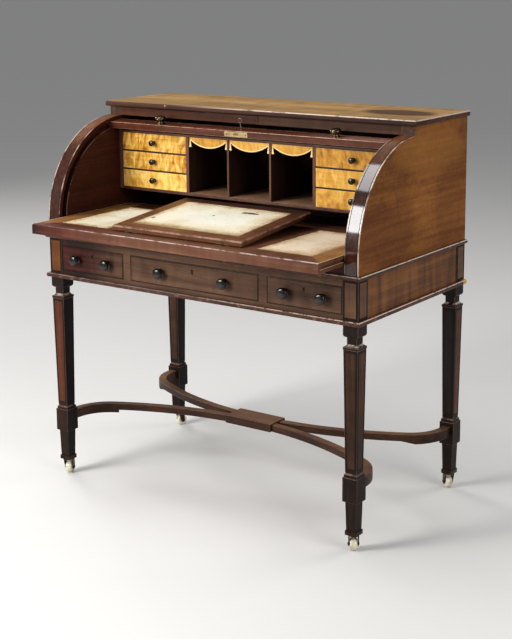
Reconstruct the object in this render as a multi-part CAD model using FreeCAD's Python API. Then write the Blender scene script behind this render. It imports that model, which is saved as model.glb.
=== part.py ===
import FreeCAD
import Part
import math
import os

# Cylinder desk in millimetres: +Z up, front towards -Y, origin on the floor under the middle of the base.
# Heights are stacked: caster, leg, base, waist moulding, case, top.

# Base
base_width = 984.0
base_depth = 544.0
base_height = 110.0
stile_size = 44.0
face_setback = 2.0
apron_thickness = 18.0
rail_depth = 22.0
top_rail_height = 18.0
bottom_rail_height = 22.0
partition_width = 24.0
side_opening = 218.0
runner_thickness = 10.0
runner_reach = 16.0
guide_height = 12.0

# Mouldings round the base
moulding_overhang = 8.0
moulding_round = 4.0
lower_moulding_height = 12.0
waist_height = 10.0
waist_side_width = 28.0
waist_front_width = 40.0

# Legs
leg_length = 523.0
foot_height = 82.0
foot_bottom_size = 27.0
foot_top_size = 31.0
block_height = 62.0
block_size = 42.0
collar_height = 13.0
collar_size = 37.0
shaft_bottom_size = 32.0
shaft_top_size = 40.0
bead_height = 6.0
bead_size = 42.0
flare_height = 11.0
neck_height = 12.0
neck_size = 28.0
ovolo_height = 10.0
cap_height = 21.0
cap_size = 42.0

# Casters
caster_height = 49.0
caster_trail = 8.5
caster_yaws = {"front_left": 110.0, "front_right": 125.0, "rear_left": 70.0, "rear_right": 140.0}
wheel_diameter = 33.0
wheel_width = 18.0
wheel_edge = 5.0
wheel_crown_share = 0.08
axle_diameter = 6.0
axle_head = 1.5
fork_thickness = 3.0
fork_gap = 1.0
fork_eye_radius = 6.0
swivel_gap = 0.3
swivel_plate_thickness = 3.5
swivel_plate_diameter = 24.0
swivel_pin_diameter = 8.0
swivel_pin_length = 30.0
socket_wall = 2.4
socket_base = 4.0
socket_lip = 7.0

# Stretcher
stretcher_width = 23.0
stretcher_height = 18.0
stretcher_bottom = 164.0
stretcher_run = 15.0
stretcher_bend = 110.0
stretcher_spacing = 28.0
bracket_depth = 8.0
bracket_length = 110.0
centre_block_length = 150.0
centre_block_width = 72.0
centre_block_web = 4.0

# Frieze drawers
drawer_gap = 0.7
drawer_face_setback = 1.0
drawer_front_thickness = 20.0
drawer_side_thickness = 10.0
drawer_bottom_thickness = 6.0
drawer_bottom_rise = 6.0
drawer_side_drop = 9.0
drawer_back_room = 73.0
drawer_edge_round = 1.0
knob_place_share = 0.25
knob_rim_share = 0.125
knob_neck_share = 0.5
knob_face_share = 0.5
knob_head_diameter = 29.0
knob_neck_diameter = 14.0
knob_base_diameter = 23.0
knob_length = 21.0
knob_pin_diameter = 6.0
knob_pin_length = 12.0
lock_rise = 14.0
lock_width = 46.0
lock_floor_gap = 16.0
lock_depth = 9.0
escutcheon_width = 6.4
escutcheon_height = 13.0
escutcheon_thickness = 2.0
keyhole_diameter = 3.2
keyhole_slot = 1.4
keyhole_length = 6.0

# Case
end_thickness = 40.0
lining_thickness = 12.0
end_toe_height = 38.0
end_rim = 11.0
lid_back_gap = 13.0
frieze_height = 24.0
frieze_thickness = 16.0
frieze_joint_x = 22.0
frieze_joint_gap = 1.5
top_thickness = 15.0
top_front_overhang = 11.0
top_edge_round = 5.0
case_back_thickness = 12.0
bed_thickness = 20.7
edge_round = 1.5

# Lid, with angles counted up from the front about its centre
lid_panel_thickness = 16.0
lid_rail_thickness = 18.0
lid_rail_angle = 10.0
lid_arc_angle = 90.0
lid_swing_angle = 77.0
lid_gap = 1.5
groove_gap = 0.5
groove_end_angle = 1.0
lid_knob_inset = 169.0
lid_fitting_rise = 15.0
lid_knob_head_diameter = 30.0
lid_knob_neck_diameter = 12.0
lid_knob_base_diameter = 20.0
lid_knob_length = 22.0
lid_lock_x = -20.0
lid_lock_width = 56.0
lid_lock_height = 28.0
lid_lock_depth = 12.0
lock_plate_width = 73.0
lock_plate_depth = 13.0
lock_plate_thickness = 1.5
bolt_width = 16.0
bolt_thickness = 5.0
bolt_length = 18.0
bolt_clearance = 0.2
bolt_throw = 8.0
strike_gap = 1.0
key_offset = 9.0
key_diameter = 3.8
key_length = 20.0
key_seat = 3.0
key_bow_diameter = 13.0
key_bow_wire = 2.6
keyway_gap = 0.5

# Levers that link the lid and the slide
lever_thickness = 5.0
lever_gap = 0.8
lever_seat = 0.2
lever_width = 22.0
lever_boss_diameter = 28.0
lever_arm_angle = 150.0
lever_foot_angle = 24.0
lever_pivot_diameter = 12.0
lever_pivot_length = 10.0
lever_tail_width = 26.0
lever_tail_end = 13.5
lever_slot_width = 13.4
drive_pin_diameter = 6.0
drive_bracket_thickness = 6.0
drive_bracket_width = 22.0
drive_bracket_inset = 8.0

# Writing slide
slide_thickness = 27.0
slide_back_room = 130.0
slide_travel = 100.0
slide_lip = 8.0
slide_side_gap = 2.0
slide_bed_gap = 0.3
slide_nose_round = 2.5
slide_tongue_height = 6.0
slide_tongue_reach = 8.0
slide_tongue_gap = 0.5
slide_groove_inset = 8.0
leather_thickness = 1.2
leather_slope_gap = 32.0
leather_outer_margin = 54.0
leather_front_margin = 58.0
leather_rear_margin = 70.0

# Writing slope, drawn flat and then tilted about its hinge
slope_side_room = 245.0
slope_nest_gap = 10.0
slope_thickness = 16.0
slope_setback = 42.0
slope_gap = 0.5
slope_angle = 5.2
slope_round = 5.0
slope_leather_side = 36.0
slope_leather_front = 38.0
slope_leather_rear = 36.0
hinge_side_inset = 60.0
hinge_length = 44.0
hinge_leaf_width = 18.0
hinge_leaf_thickness = 1.2
hinge_inset = 4.0
knuckle_diameter = 5.0
knuckle_share = 1.0 / 3.0
knuckle_gap = 0.3
knuckle_lift = 0.4
knuckle_web = 3.0
hinge_pin_diameter = 2.4

# Prop under the slope
prop_rear_inset = 65.0
prop_length = 62.0
prop_width = 50.0
prop_thickness = 3.6
prop_barrel_diameter = 4.4
prop_pin_diameter = 2.4
prop_lug_thickness = 6.0
prop_recess_depth = 7.0
prop_recess_margin = 8.0
prop_foot_gap = 0.3
prop_plate_length = 32.0
prop_plate_margin = 8.0
prop_plate_thickness = 1.5

# Nest of pigeonholes and small drawers
nest_reach = 13.0
nest_rise = 47.0
nest_lid_gap = 2.6
nest_top_gap = 10.6
nest_side_thickness = 14.0
nest_top_thickness = 6.0
nest_bottom_thickness = 8.0
nest_back_thickness = 10.0
small_drawer_bay = 227.5
drawer_divider_thickness = 9.0
pigeon_divider_thickness = 6.0
shelf_thickness = 4.0
shelf_setback = 1.5
row_names = ("bottom", "middle", "top")
small_gap = 0.4
small_front_thickness = 8.0
small_wall = 5.0
small_bottom = 3.0
small_side_drop = 4.0
small_back_gap = 3.0
small_knob_head_diameter = 16.5
small_knob_neck_diameter = 8.0
small_knob_base_diameter = 11.0
small_knob_length = 15.0
small_knob_pin_diameter = 3.5
small_knob_pin_length = 6.0
valance_thickness = 6.0
valance_setback = 3.0
swag_depth = 27.0
swag_end_depth = 7.0
tassel_height = 27.0
tassel_width = 8.0
tassel_neck = 4.0
tassel_bell = 9.0

# Fits
running_gap = 0.05
overrun = 5.0
quarter_share = math.tan(math.radians(22.5)) / 2
half_share = 0.5

# Places worked out from the sizes above
half_width = base_width / 2
front_y = -base_depth / 2
back_y = base_depth / 2
base_bottom = caster_height + leg_length
base_top = base_bottom + base_height
case_bottom = base_top + waist_height
leg_x = half_width - stile_size / 2
leg_y = base_depth / 2 - stile_size / 2
between_stiles = half_width - stile_size
centre_opening = 2 * (between_stiles - side_opening - partition_width)
end_radius = (base_depth - case_back_thickness - lid_back_gap + end_rim) / 2
lid_outer_radius = end_radius - end_rim
rail_front = front_y + face_setback
rail_back = rail_front + rail_depth
back_apron_front = back_y - face_setback - apron_thickness
side_apron_inner = half_width - face_setback - apron_thickness
opening_bottom = base_bottom + bottom_rail_height
opening_top = base_top - top_rail_height
drawer_face = front_y + drawer_face_setback
drawer_front_back = drawer_face + drawer_front_thickness
drawer_length = back_apron_front - drawer_front_back - drawer_back_room
inner_half = half_width - end_thickness
cavity_x = inner_half + lining_thickness
axis_y = front_y + end_radius
axis_z = case_bottom + end_toe_height
frieze_bottom = axis_z + end_radius
case_top = frieze_bottom + frieze_height
lid_panel_inner = lid_outer_radius - lid_panel_thickness
lid_rail_inner = lid_outer_radius - lid_rail_thickness
lid_rail_middle = lid_outer_radius - lid_rail_thickness / 2
lid_half = cavity_x + lever_seat
lid_knob_x = inner_half - lid_knob_inset
key_x = lid_lock_x + key_offset
slide_bottom = case_bottom + bed_thickness + slide_bed_gap
slide_top = slide_bottom + slide_thickness
lid_closed_angle = math.degrees(math.asin((slide_top + lid_gap - axis_z) / lid_rail_inner))
lid_open_angle = lid_closed_angle + lid_swing_angle
slide_front = front_y - slide_lip - slide_travel
slide_depth = base_depth + slide_lip - case_back_thickness - slide_back_room
slide_back = slide_front + slide_depth
slide_half = inner_half - slide_side_gap
drive_drop = slide_travel / 2 / math.tan(math.radians(lid_swing_angle / 2))
drive_pin_y = axis_y - slide_travel / 2
drive_pin_z = axis_z - drive_drop
drive_reach = drive_drop / math.cos(math.radians(lid_swing_angle / 2))
drive_bracket_outer = slide_half - drive_bracket_inset
drive_bracket_inner = drive_bracket_outer - drive_bracket_thickness
nest_front = axis_y - nest_reach
slope_width = 2 * (slide_half - slope_side_room)
slope_front = slide_front + slope_setback
slope_back = nest_front - slope_nest_gap
leather_inner_x = slope_width / 2 + leather_slope_gap
leather_length = slide_depth - leather_front_margin - leather_rear_margin
hinge_x = slope_width / 2 - hinge_side_inset
slope_bottom = slide_top + slope_gap
slope_top = slope_bottom + slope_thickness
hinge_y = slope_front + hinge_inset
hinge_z = slide_top + knuckle_lift + knuckle_diameter / 2
prop_y = slope_back - prop_rear_inset
prop_distance = prop_y - hinge_y
prop_foot_radius = prop_thickness / 2
prop_climb = prop_distance * math.sin(math.radians(slope_angle)) + hinge_z - slide_top
prop_drop = prop_climb - prop_foot_radius - prop_foot_gap
prop_ground_angle = math.degrees(math.asin(prop_drop / prop_length))
prop_angle = prop_ground_angle - slope_angle
nest_bottom = slide_top + nest_rise
nest_top = axis_z + math.sqrt((lid_rail_inner - nest_top_gap) ** 2 - nest_reach ** 2)
nest_limit = lid_panel_inner - nest_lid_gap
nest_back_top = axis_y + math.sqrt(nest_limit ** 2 - (nest_top - axis_z) ** 2)
nest_back_bottom = axis_y + math.sqrt(nest_limit ** 2 - (nest_bottom - axis_z) ** 2)
nest_inner_half = inner_half - nest_side_thickness
drawer_divider_x = nest_inner_half - small_drawer_bay - drawer_divider_thickness / 2
pigeon_divider_x = drawer_divider_x / 3
nest_floor = nest_bottom + nest_bottom_thickness
nest_ceiling = nest_top - nest_top_thickness
bay_inner = drawer_divider_x + drawer_divider_thickness / 2
row_height = (nest_ceiling - nest_floor - 2 * shelf_thickness) / len(row_names)

SIDES = {"left": -1, "right": 1}
CORNERS = {
    "front_left": (-1, -1),
    "front_right": (1, -1),
    "rear_left": (-1, 1),
    "rear_right": (1, 1),
}
X_AXIS = FreeCAD.Vector(1, 0, 0)
Y_AXIS = FreeCAD.Vector(0, 1, 0)
Z_AXIS = FreeCAD.Vector(0, 0, 1)


# Shape helpers

def box(x0, x1, y0, y1, z0, z1):
    low = FreeCAD.Vector(min(x0, x1), min(y0, y1), min(z0, z1))
    return Part.makeBox(abs(x1 - x0), abs(y1 - y0), abs(z1 - z0), low)


def cylinder(radius, start, direction, length):
    return Part.makeCylinder(radius, length, start, direction)


def outline(points, place):
    """Close a wire through (u, v) or (u, v, share) points; a share bows that side out by share x chord."""
    edges = []
    last = points[-1]
    for point in points:
        u, v = point[0], point[1]
        share = point[2] if len(point) > 2 else 0
        start, end = place(last[0], last[1]), place(u, v)
        if share:
            middle_u = (last[0] + u) / 2 + share * (v - last[1])
            middle_v = (last[1] + v) / 2 - share * (u - last[0])
            edges.append(Part.Arc(start, place(middle_u, middle_v), end).toShape())
        else:
            edges.append(Part.LineSegment(start, end).toShape())
        last = point
    return Part.Face(Part.Wire(edges))


def plate_across_x(points, x0, x1):
    face = outline(points, lambda u, v: FreeCAD.Vector(x0, u, v))
    return face.extrude(X_AXIS * (x1 - x0))


def plate_across_y(points, y0, y1):
    face = outline(points, lambda u, v: FreeCAD.Vector(u, y0, v))
    return face.extrude(Y_AXIS * (y1 - y0))


def plate_across_z(points, z0, z1):
    face = outline(points, lambda u, v: FreeCAD.Vector(u, v, z0))
    return face.extrude(Z_AXIS * (z1 - z0))


def mirrored_outline(points):
    """Double a rising right-hand profile into a closed outline about u = 0."""
    shares = [point[2] if len(point) > 2 else 0 for point in points]
    right = [(u[0], u[1], share) for u, share in zip(points, shares)]
    back_shares = [0] + shares[:0:-1]
    left = [(-u[0], u[1], share) for u, share in zip(reversed(points), back_shares)]
    return right + left


def polar(radius, angle):
    """A point about the lid's centre, with the angle counted up from the front."""
    turn = math.radians(angle)
    return axis_y - radius * math.cos(turn), axis_z + radius * math.sin(turn)


def annular_sector(x0, x1, inner, outer, angle0, angle1):
    middle = (angle0 + angle1) / 2

    def arc(radius, first, last):
        places = [FreeCAD.Vector(x0, *polar(radius, angle)) for angle in (first, middle, last)]
        return Part.Arc(*places).toShape()

    outside = arc(outer, angle0, angle1)
    inside = arc(inner, angle1, angle0)
    side1 = Part.LineSegment(outside.lastVertex().Point, inside.firstVertex().Point).toShape()
    side0 = Part.LineSegment(inside.lastVertex().Point, outside.firstVertex().Point).toShape()
    face = Part.Face(Part.Wire([outside, side1, inside, side0]))
    return face.extrude(X_AXIS * (x1 - x0))


def turn_lid(shape, angle):
    """Roll a shape drawn with the lid's lower edge level at the front back by an angle."""
    turned = shape.copy()
    turned.rotate(FreeCAD.Vector(0, axis_y, axis_z), X_AXIS, -angle)
    return turned


def tilt_slope(shape):
    tilted = shape.copy()
    tilted.rotate(FreeCAD.Vector(0, hinge_y, hinge_z), X_AXIS, slope_angle)
    return tilted


def round_edges(shape, radius, wanted):
    edges = [edge for edge in shape.Edges if wanted(edge.CenterOfMass)]
    return shape.makeFillet(radius, edges)


def near(a, b):
    return abs(a - b) < running_gap


def turned_knob(x, y, z, head, neck, base, length, pin, pin_length):
    """A turned knob that points to the front from its seat, with the pin that holds it."""
    rim = length * knob_rim_share
    neck_top = length * knob_neck_share
    face = head * knob_face_share
    profile = [
        (0, -pin_length),
        (pin / 2, -pin_length),
        (pin / 2, 0),
        (base / 2, 0),
        (base / 2, rim),
        (neck / 2, neck_top, -quarter_share),
        (head / 2, length - rim * 2, quarter_share),
        (face / 2, length, quarter_share),
        (0, length),
    ]
    section = outline(profile, lambda u, v: FreeCAD.Vector(x + u, y - v, z))
    return section.revolve(FreeCAD.Vector(x, y, z), Y_AXIS, 360)


def knob_hole(x, y, z, pin, pin_length):
    return cylinder(pin / 2, FreeCAD.Vector(x, y, z), Y_AXIS, pin_length)


# Legs, casters and stretcher

def leg_profile():
    block_bottom = caster_height + foot_height
    block_top = block_bottom + block_height
    collar_top = block_top + collar_height
    cap_bottom = base_bottom - cap_height
    neck_top = cap_bottom - ovolo_height
    neck_bottom = neck_top - neck_height
    bead_top = neck_bottom - flare_height
    shaft_top = bead_top - bead_height
    return [
        (foot_bottom_size / 2, caster_height),
        (foot_top_size / 2, block_bottom),
        (block_size / 2, block_bottom),
        (block_size / 2, block_top),
        (collar_size / 2, block_top),
        (collar_size / 2, block_top + collar_height / 2),
        (shaft_bottom_size / 2, collar_top, -quarter_share),
        (shaft_top_size / 2, shaft_top),
        (bead_size / 2, shaft_top),
        (bead_size / 2, bead_top),
        (neck_size / 2, neck_bottom, -quarter_share),
        (neck_size / 2, neck_top),
        (cap_size / 2, cap_bottom, quarter_share),
        (cap_size / 2, base_bottom),
        (stile_size / 2, base_bottom),
        (stile_size / 2, base_top),
    ]


def make_leg(side, end):
    x, y = side * leg_x, end * leg_y
    profile = mirrored_outline(leg_profile())
    widest = max(point[0] for point in profile)
    across_y = plate_across_y(profile, -widest, widest)
    across_x = plate_across_x(profile, -widest, widest)
    leg = across_y.common(across_x)
    bore = cylinder(swivel_pin_diameter / 2 + running_gap, FreeCAD.Vector(0, 0, 0), Z_AXIS,
                    caster_height + swivel_pin_length)
    leg = leg.cut(bore)
    leg.translate(FreeCAD.Vector(x, y, 0))
    return leg


def make_socket(side, end):
    outer = foot_bottom_size / 2 + socket_wall
    foot_slope = (foot_top_size - foot_bottom_size) / foot_height
    inner = foot_bottom_size / 2 + foot_slope * socket_lip / 2
    bottom = caster_height - socket_base
    socket = box(-outer, outer, -outer, outer, bottom, caster_height + socket_lip)
    socket = socket.cut(box(-inner, inner, -inner, inner, caster_height, caster_height + socket_lip))
    hole = cylinder(swivel_pin_diameter / 2 + running_gap, FreeCAD.Vector(0, 0, 0), Z_AXIS, caster_height)
    socket = socket.cut(hole)
    socket.translate(FreeCAD.Vector(side * leg_x, end * leg_y, 0))
    return socket


def fork_cheek(y0, y1, plate_bottom):
    reach = swivel_plate_diameter / 2
    axle_z = wheel_diameter / 2
    points = [
        (caster_trail - fork_eye_radius, axle_z),
        (caster_trail + fork_eye_radius, axle_z, half_share),
        (reach, plate_bottom),
        (-reach / 2, plate_bottom),
    ]
    return plate_across_y(points, y0, y1)


def place_caster(shape, corner):
    side, end = CORNERS[corner]
    shape.rotate(FreeCAD.Vector(0, 0, 0), Z_AXIS, caster_yaws[corner])
    shape.translate(FreeCAD.Vector(side * leg_x, end * leg_y, 0))
    return shape


def make_fork(corner):
    plate_top = caster_height - socket_base - swivel_gap
    plate_bottom = plate_top - swivel_plate_thickness
    cheek = wheel_width / 2 + fork_gap
    axle_half = cheek + fork_thickness + axle_head
    plate_start = FreeCAD.Vector(0, 0, plate_bottom)
    fork = cylinder(swivel_plate_diameter / 2, plate_start, Z_AXIS, swivel_plate_thickness)
    pin_length = caster_height + swivel_pin_length - plate_bottom - socket_base
    fork = fork.fuse(cylinder(swivel_pin_diameter / 2, plate_start, Z_AXIS, pin_length))
    for sign in SIDES.values():
        fork = fork.fuse(fork_cheek(sign * cheek, sign * (cheek + fork_thickness), plate_bottom))
    axle_start = FreeCAD.Vector(caster_trail, -axle_half, wheel_diameter / 2)
    fork = fork.fuse(cylinder(axle_diameter / 2, axle_start, Y_AXIS, 2 * axle_half))
    return place_caster(fork.removeSplitter(), corner)


def make_wheel(corner):
    bore = axle_diameter / 2 + running_gap
    half = wheel_width / 2
    tread = half - wheel_edge
    radius = wheel_diameter / 2
    crown = 2 * tread * wheel_crown_share
    points = [
        (bore, -half),
        (radius - wheel_edge, -half),
        (radius - crown, -tread, quarter_share),
        (radius - crown, tread, wheel_crown_share),
        (radius - wheel_edge, half, quarter_share),
        (bore, half),
    ]
    centre = FreeCAD.Vector(caster_trail, 0, wheel_diameter / 2)
    face = outline(points, lambda u, v: centre + FreeCAD.Vector(u, v, 0))
    return place_caster(face.revolve(centre, Y_AXIS, 360), corner)


def stretcher_outline(offset):
    """Points of one edge of the front rail's right half, from the leg to the middle."""
    leg_face = -leg_y + block_size / 2
    bend_y = leg_face + stretcher_run
    bend_x = leg_x - stretcher_bend
    middle_y = -stretcher_spacing / 2
    rise = middle_y - bend_y
    sweep = (bend_x ** 2 + rise ** 2 - stretcher_bend ** 2) / (2 * (rise - stretcher_bend))
    sweep_y = middle_y - sweep
    turn = math.atan2(bend_y - sweep_y, bend_x)
    bend_half = turn / 2
    bend = stretcher_bend + offset
    tangent = (bend_x + bend * math.cos(turn), bend_y + bend * math.sin(turn))
    bow = (bend_x + bend * math.cos(bend_half), bend_y + bend * math.sin(bend_half))
    start = (leg_x + offset, leg_face)
    corner = (leg_x + offset, bend_y)
    top = (0, middle_y + offset)
    return start, corner, bow, tangent, top


def stretcher_face(z):
    def vector(point, side=1):
        return FreeCAD.Vector(side * point[0], point[1], z)

    def path(offset):
        start, corner, bow, tangent, top = stretcher_outline(offset)
        return [
            Part.LineSegment(vector(start), vector(corner)).toShape(),
            Part.Arc(vector(corner), vector(bow), vector(tangent)).toShape(),
            Part.Arc(vector(tangent), vector(top), vector(tangent, -1)).toShape(),
            Part.Arc(vector(tangent, -1), vector(bow, -1), vector(corner, -1)).toShape(),
            Part.LineSegment(vector(corner, -1), vector(start, -1)).toShape(),
        ], start

    outer, outer_start = path(stretcher_width / 2)
    inner, inner_start = path(-stretcher_width / 2)
    caps = [
        Part.LineSegment(vector(outer_start), vector(inner_start)).toShape(),
        Part.LineSegment(vector(outer_start, -1), vector(inner_start, -1)).toShape(),
    ]
    return Part.Face(Part.Wire(Part.__sortEdges__(outer + inner + caps)))


def make_stretcher(end):
    rail = stretcher_face(stretcher_bottom).extrude(Z_AXIS * stretcher_height)
    low = stretcher_bottom - bracket_depth
    step = stretcher_face(low).extrude(Z_AXIS * bracket_depth)
    leg_face = -leg_y + block_size / 2
    for side in SIDES.values():
        reach = box(0, side * (leg_x + stretcher_width), leg_face, leg_face + bracket_length,
                    low, stretcher_bottom)
        rail = rail.fuse(step.common(reach))
    rail = rail.removeSplitter()
    if end > 0:
        rail.rotate(FreeCAD.Vector(0, 0, 0), Z_AXIS, 180)
    return rail


def make_stretcher_block(rails):
    x, y = centre_block_length / 2, centre_block_width / 2
    top = stretcher_bottom + stretcher_height + centre_block_web
    block = box(-x, x, -y, y, stretcher_bottom, top)
    block = round_edges(block, edge_round, lambda centre: near(centre.z, top))
    for rail in rails:
        block = block.cut(rail)
    return block.Solids


# Base frame and frieze drawers

def make_side_aprons():
    outer = half_width - face_setback
    depth = leg_y - stile_size / 2
    return [box(side * side_apron_inner, side * outer, -depth, depth, base_bottom, base_top)
            for side in SIDES.values()]


def make_back_apron():
    return box(-between_stiles, between_stiles, back_apron_front, back_y - face_setback,
               base_bottom, base_top)


def make_front_frame():
    pieces = [
        box(-between_stiles, between_stiles, rail_front, rail_back, opening_top, base_top),
        box(-between_stiles, between_stiles, rail_front, rail_back, base_bottom, opening_bottom),
    ]
    for side in SIDES.values():
        inner = side * centre_opening / 2
        outer = inner + side * partition_width
        pieces.append(box(inner, outer, rail_front, rail_back, opening_bottom, opening_top))
    return pieces


def make_drawer_runners():
    pieces = []
    low = opening_bottom - runner_thickness
    between_legs = leg_y - stile_size / 2
    for side in SIDES.values():
        inner = side * centre_opening / 2
        outer = inner + side * partition_width
        pieces.append(box(inner, outer, rail_back, back_apron_front, opening_bottom, opening_top))
        pieces.append(box(inner - side * runner_reach, outer + side * runner_reach,
                          rail_back, back_apron_front, low, opening_bottom))
        runner = box(side * (between_stiles - runner_reach), side * side_apron_inner,
                     -between_legs, between_legs, low, opening_bottom)
        guide = box(side * between_stiles, side * side_apron_inner,
                    -between_legs, between_legs, opening_bottom, opening_bottom + guide_height)
        pieces.append(runner.fuse(guide).removeSplitter())
    return pieces


def moulding_frame(inner_x, inner_y0, inner_y1, z0, z1):
    """A frame round the base with a rounded outer edge, flush with the back."""
    tip_x = half_width + moulding_overhang
    tip_y = front_y - moulding_overhang
    frame = box(-tip_x, tip_x, tip_y, back_y, z0, z1)
    frame = round_edges(frame, moulding_round, lambda centre: (
        (near(abs(centre.x), tip_x) or near(centre.y, tip_y)) and not near(centre.z, (z0 + z1) / 2)))
    return frame.cut(box(-inner_x, inner_x, inner_y0, inner_y1, z0, z1))


def mitred_lengths(frame, z0, z1):
    """Cut a moulding frame into its mitred front and side lengths."""
    tip_x = half_width + moulding_overhang
    tip_y = front_y - moulding_overhang
    front = plate_across_z([(-tip_x, tip_y), (tip_x, tip_y), (0, tip_y + tip_x)], z0, z1)
    lengths = [frame.common(front)]
    sides = frame.cut(front)
    for side in SIDES.values():
        lengths.append(sides.common(box(0, side * tip_x, tip_y, back_y, z0, z1)))
    return [solid for length in lengths for solid in length.Solids]


def make_lower_moulding():
    top = base_bottom + lower_moulding_height
    frame = moulding_frame(half_width, front_y, back_y, base_bottom, top)
    return mitred_lengths(frame, base_bottom, top)


def make_waist_moulding():
    inner_x = half_width + moulding_overhang - waist_side_width
    inner_front = front_y - moulding_overhang + waist_front_width
    frame = moulding_frame(inner_x, inner_front, back_y, base_top, case_bottom)
    back = box(-inner_x, inner_x, back_y - waist_front_width, back_y, base_top, case_bottom)
    return mitred_lengths(frame, base_top, case_bottom) + [back]


def drawer_spans():
    outer = centre_opening / 2 + partition_width
    return {
        "left": (-between_stiles, -outer),
        "centre": (-centre_opening / 2, centre_opening / 2),
        "right": (outer, between_stiles),
    }


def knob_places(x0, x1):
    middle, width = (x0 + x1) / 2, x1 - x0
    return [middle - width * knob_place_share, middle + width * knob_place_share]


def escutcheon(x, z):
    """An upright plate with round ends, let in flush with the drawer's face."""
    half = escutcheon_width / 2
    reach = escutcheon_height / 2 - half
    points = [
        (x - half, z - reach),
        (x + half, z - reach, half_share),
        (x + half, z + reach),
        (x - half, z + reach, half_share),
    ]
    return plate_across_y(points, drawer_face, drawer_face + escutcheon_thickness)


def keyhole(x, z, depth):
    top = z + keyhole_length / 2 - keyhole_diameter / 2
    hole = cylinder(keyhole_diameter / 2, FreeCAD.Vector(x, drawer_face, top), Y_AXIS, depth)
    slot = box(x - keyhole_slot / 2, x + keyhole_slot / 2, drawer_face, drawer_face + depth,
               z - keyhole_length / 2, top)
    return hole.fuse(slot).removeSplitter()


def make_drawer(x0, x1):
    left, right = x0 + drawer_gap, x1 - drawer_gap
    low, high = opening_bottom + drawer_gap, opening_top - drawer_gap
    knob_z = (low + high) / 2
    back = drawer_front_back + drawer_length
    wall = drawer_side_thickness
    side_top = opening_top - drawer_side_drop
    front = box(left, right, drawer_face, drawer_front_back, low, high)
    front = round_edges(front, drawer_edge_round, lambda centre: near(centre.y, drawer_face))
    for x in knob_places(x0, x1):
        front = front.cut(knob_hole(x, drawer_face, knob_z, knob_pin_diameter, knob_pin_length))
    lock_z = knob_z + lock_rise
    middle = (x0 + x1) / 2
    front = front.cut(escutcheon(middle, lock_z)).cut(keyhole(middle, lock_z, drawer_front_thickness))
    floor = low + drawer_bottom_rise
    return [
        front,
        box(left, left + wall, drawer_front_back, back, low, side_top),
        box(right - wall, right, drawer_front_back, back, low, side_top),
        box(left + wall, right - wall, back - wall, back, low, side_top),
        box(left + wall, right - wall, drawer_front_back, back - wall,
            floor, floor + drawer_bottom_thickness),
    ]


def make_drawer_knobs(x0, x1):
    knob_z = (opening_bottom + opening_top) / 2
    return [turned_knob(x, drawer_face, knob_z, knob_head_diameter, knob_neck_diameter, knob_base_diameter,
                        knob_length, knob_pin_diameter, knob_pin_length) for x in knob_places(x0, x1)]


def make_drawer_lock(x0, x1):
    middle = (x0 + x1) / 2
    lock_z = (opening_bottom + opening_top) / 2 + lock_rise
    high = opening_top - drawer_side_drop
    plate = escutcheon(middle, lock_z).cut(keyhole(middle, lock_z, escutcheon_thickness))
    floor = opening_bottom + drawer_gap + drawer_bottom_rise + drawer_bottom_thickness
    case = box(middle - lock_width / 2, middle + lock_width / 2, drawer_front_back,
               drawer_front_back + lock_depth, floor + lock_floor_gap, high)
    return [plate, case]


# Case

def end_outline():
    return [
        (front_y, case_bottom),
        (back_y, case_bottom),
        (back_y, case_top),
        (axis_y, case_top),
        (axis_y, frieze_bottom),
        (front_y, axis_z, quarter_share),
    ]


def make_end(side):
    pivot = FreeCAD.Vector(side * cavity_x, axis_y, axis_z)
    outward = X_AXIS * side
    outer = plate_across_x(end_outline(), side * cavity_x, side * half_width)
    outer = round_edges(outer, edge_round, lambda centre: (
        near(abs(centre.x), half_width) and centre.y < axis_y and centre.z > axis_z))
    cavity_depth = lever_seat + lever_thickness + lever_gap
    outer = outer.cut(cylinder(lid_outer_radius + lever_gap, pivot, outward, cavity_depth))
    outer = outer.cut(cylinder(lever_pivot_diameter / 2 + running_gap, pivot, outward,
                               cavity_depth + lever_pivot_length))
    lining = plate_across_x(end_outline(), side * inner_half, side * cavity_x)
    lining = round_edges(lining, edge_round, lambda centre: (
        near(abs(centre.x), inner_half) and centre.y < axis_y and centre.z > axis_z))
    groove = annular_sector(side * inner_half, side * cavity_x, lid_rail_inner - groove_gap,
                            lid_outer_radius + groove_gap, lid_closed_angle - groove_end_angle,
                            lid_open_angle + lid_arc_angle + groove_end_angle)
    return [outer, lining.cut(groove)]


def make_bed():
    bed_half = inner_half
    bed = box(-bed_half, bed_half, rail_front, back_y - case_back_thickness, case_bottom,
              case_bottom + bed_thickness)
    notch_front = drive_pin_y - drive_bracket_width
    notch_back = drive_pin_y + slide_travel + drive_bracket_width
    for side in SIDES.values():
        bed = bed.cut(box(side * (drive_bracket_inner - slide_side_gap), side * bed_half, notch_front,
                          notch_back, case_bottom, case_bottom + bed_thickness))
    return bed


def make_case_back():
    return box(-inner_half, inner_half, back_y - case_back_thickness, back_y, case_bottom, case_top)


def make_top():
    tip_x = half_width + moulding_overhang
    tip_y = axis_y - top_front_overhang
    high = case_top + top_thickness
    top = box(-tip_x, tip_x, tip_y, back_y, case_top, high)
    return round_edges(top, top_edge_round, lambda centre: (
        (near(abs(centre.x), tip_x) or near(centre.y, tip_y)) and not near(centre.z, (case_top + high) / 2)))


def make_frieze():
    back = axis_y + frieze_thickness
    half_gap = frieze_joint_gap / 2
    left_top = case_top - frieze_joint_gap
    return [
        box(-inner_half, frieze_joint_x - half_gap, axis_y, back, frieze_bottom, left_top),
        box(frieze_joint_x + half_gap, inner_half, axis_y, back, frieze_bottom, case_top),
    ]


# Nest

def nest_prism(x0, x1, front_line, back_line):
    points = [
        (front_line[0], nest_bottom),
        (back_line[0], nest_bottom),
        (back_line[1], nest_top),
        (front_line[1], nest_top),
    ]
    return plate_across_x(points, x0, x1)


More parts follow.
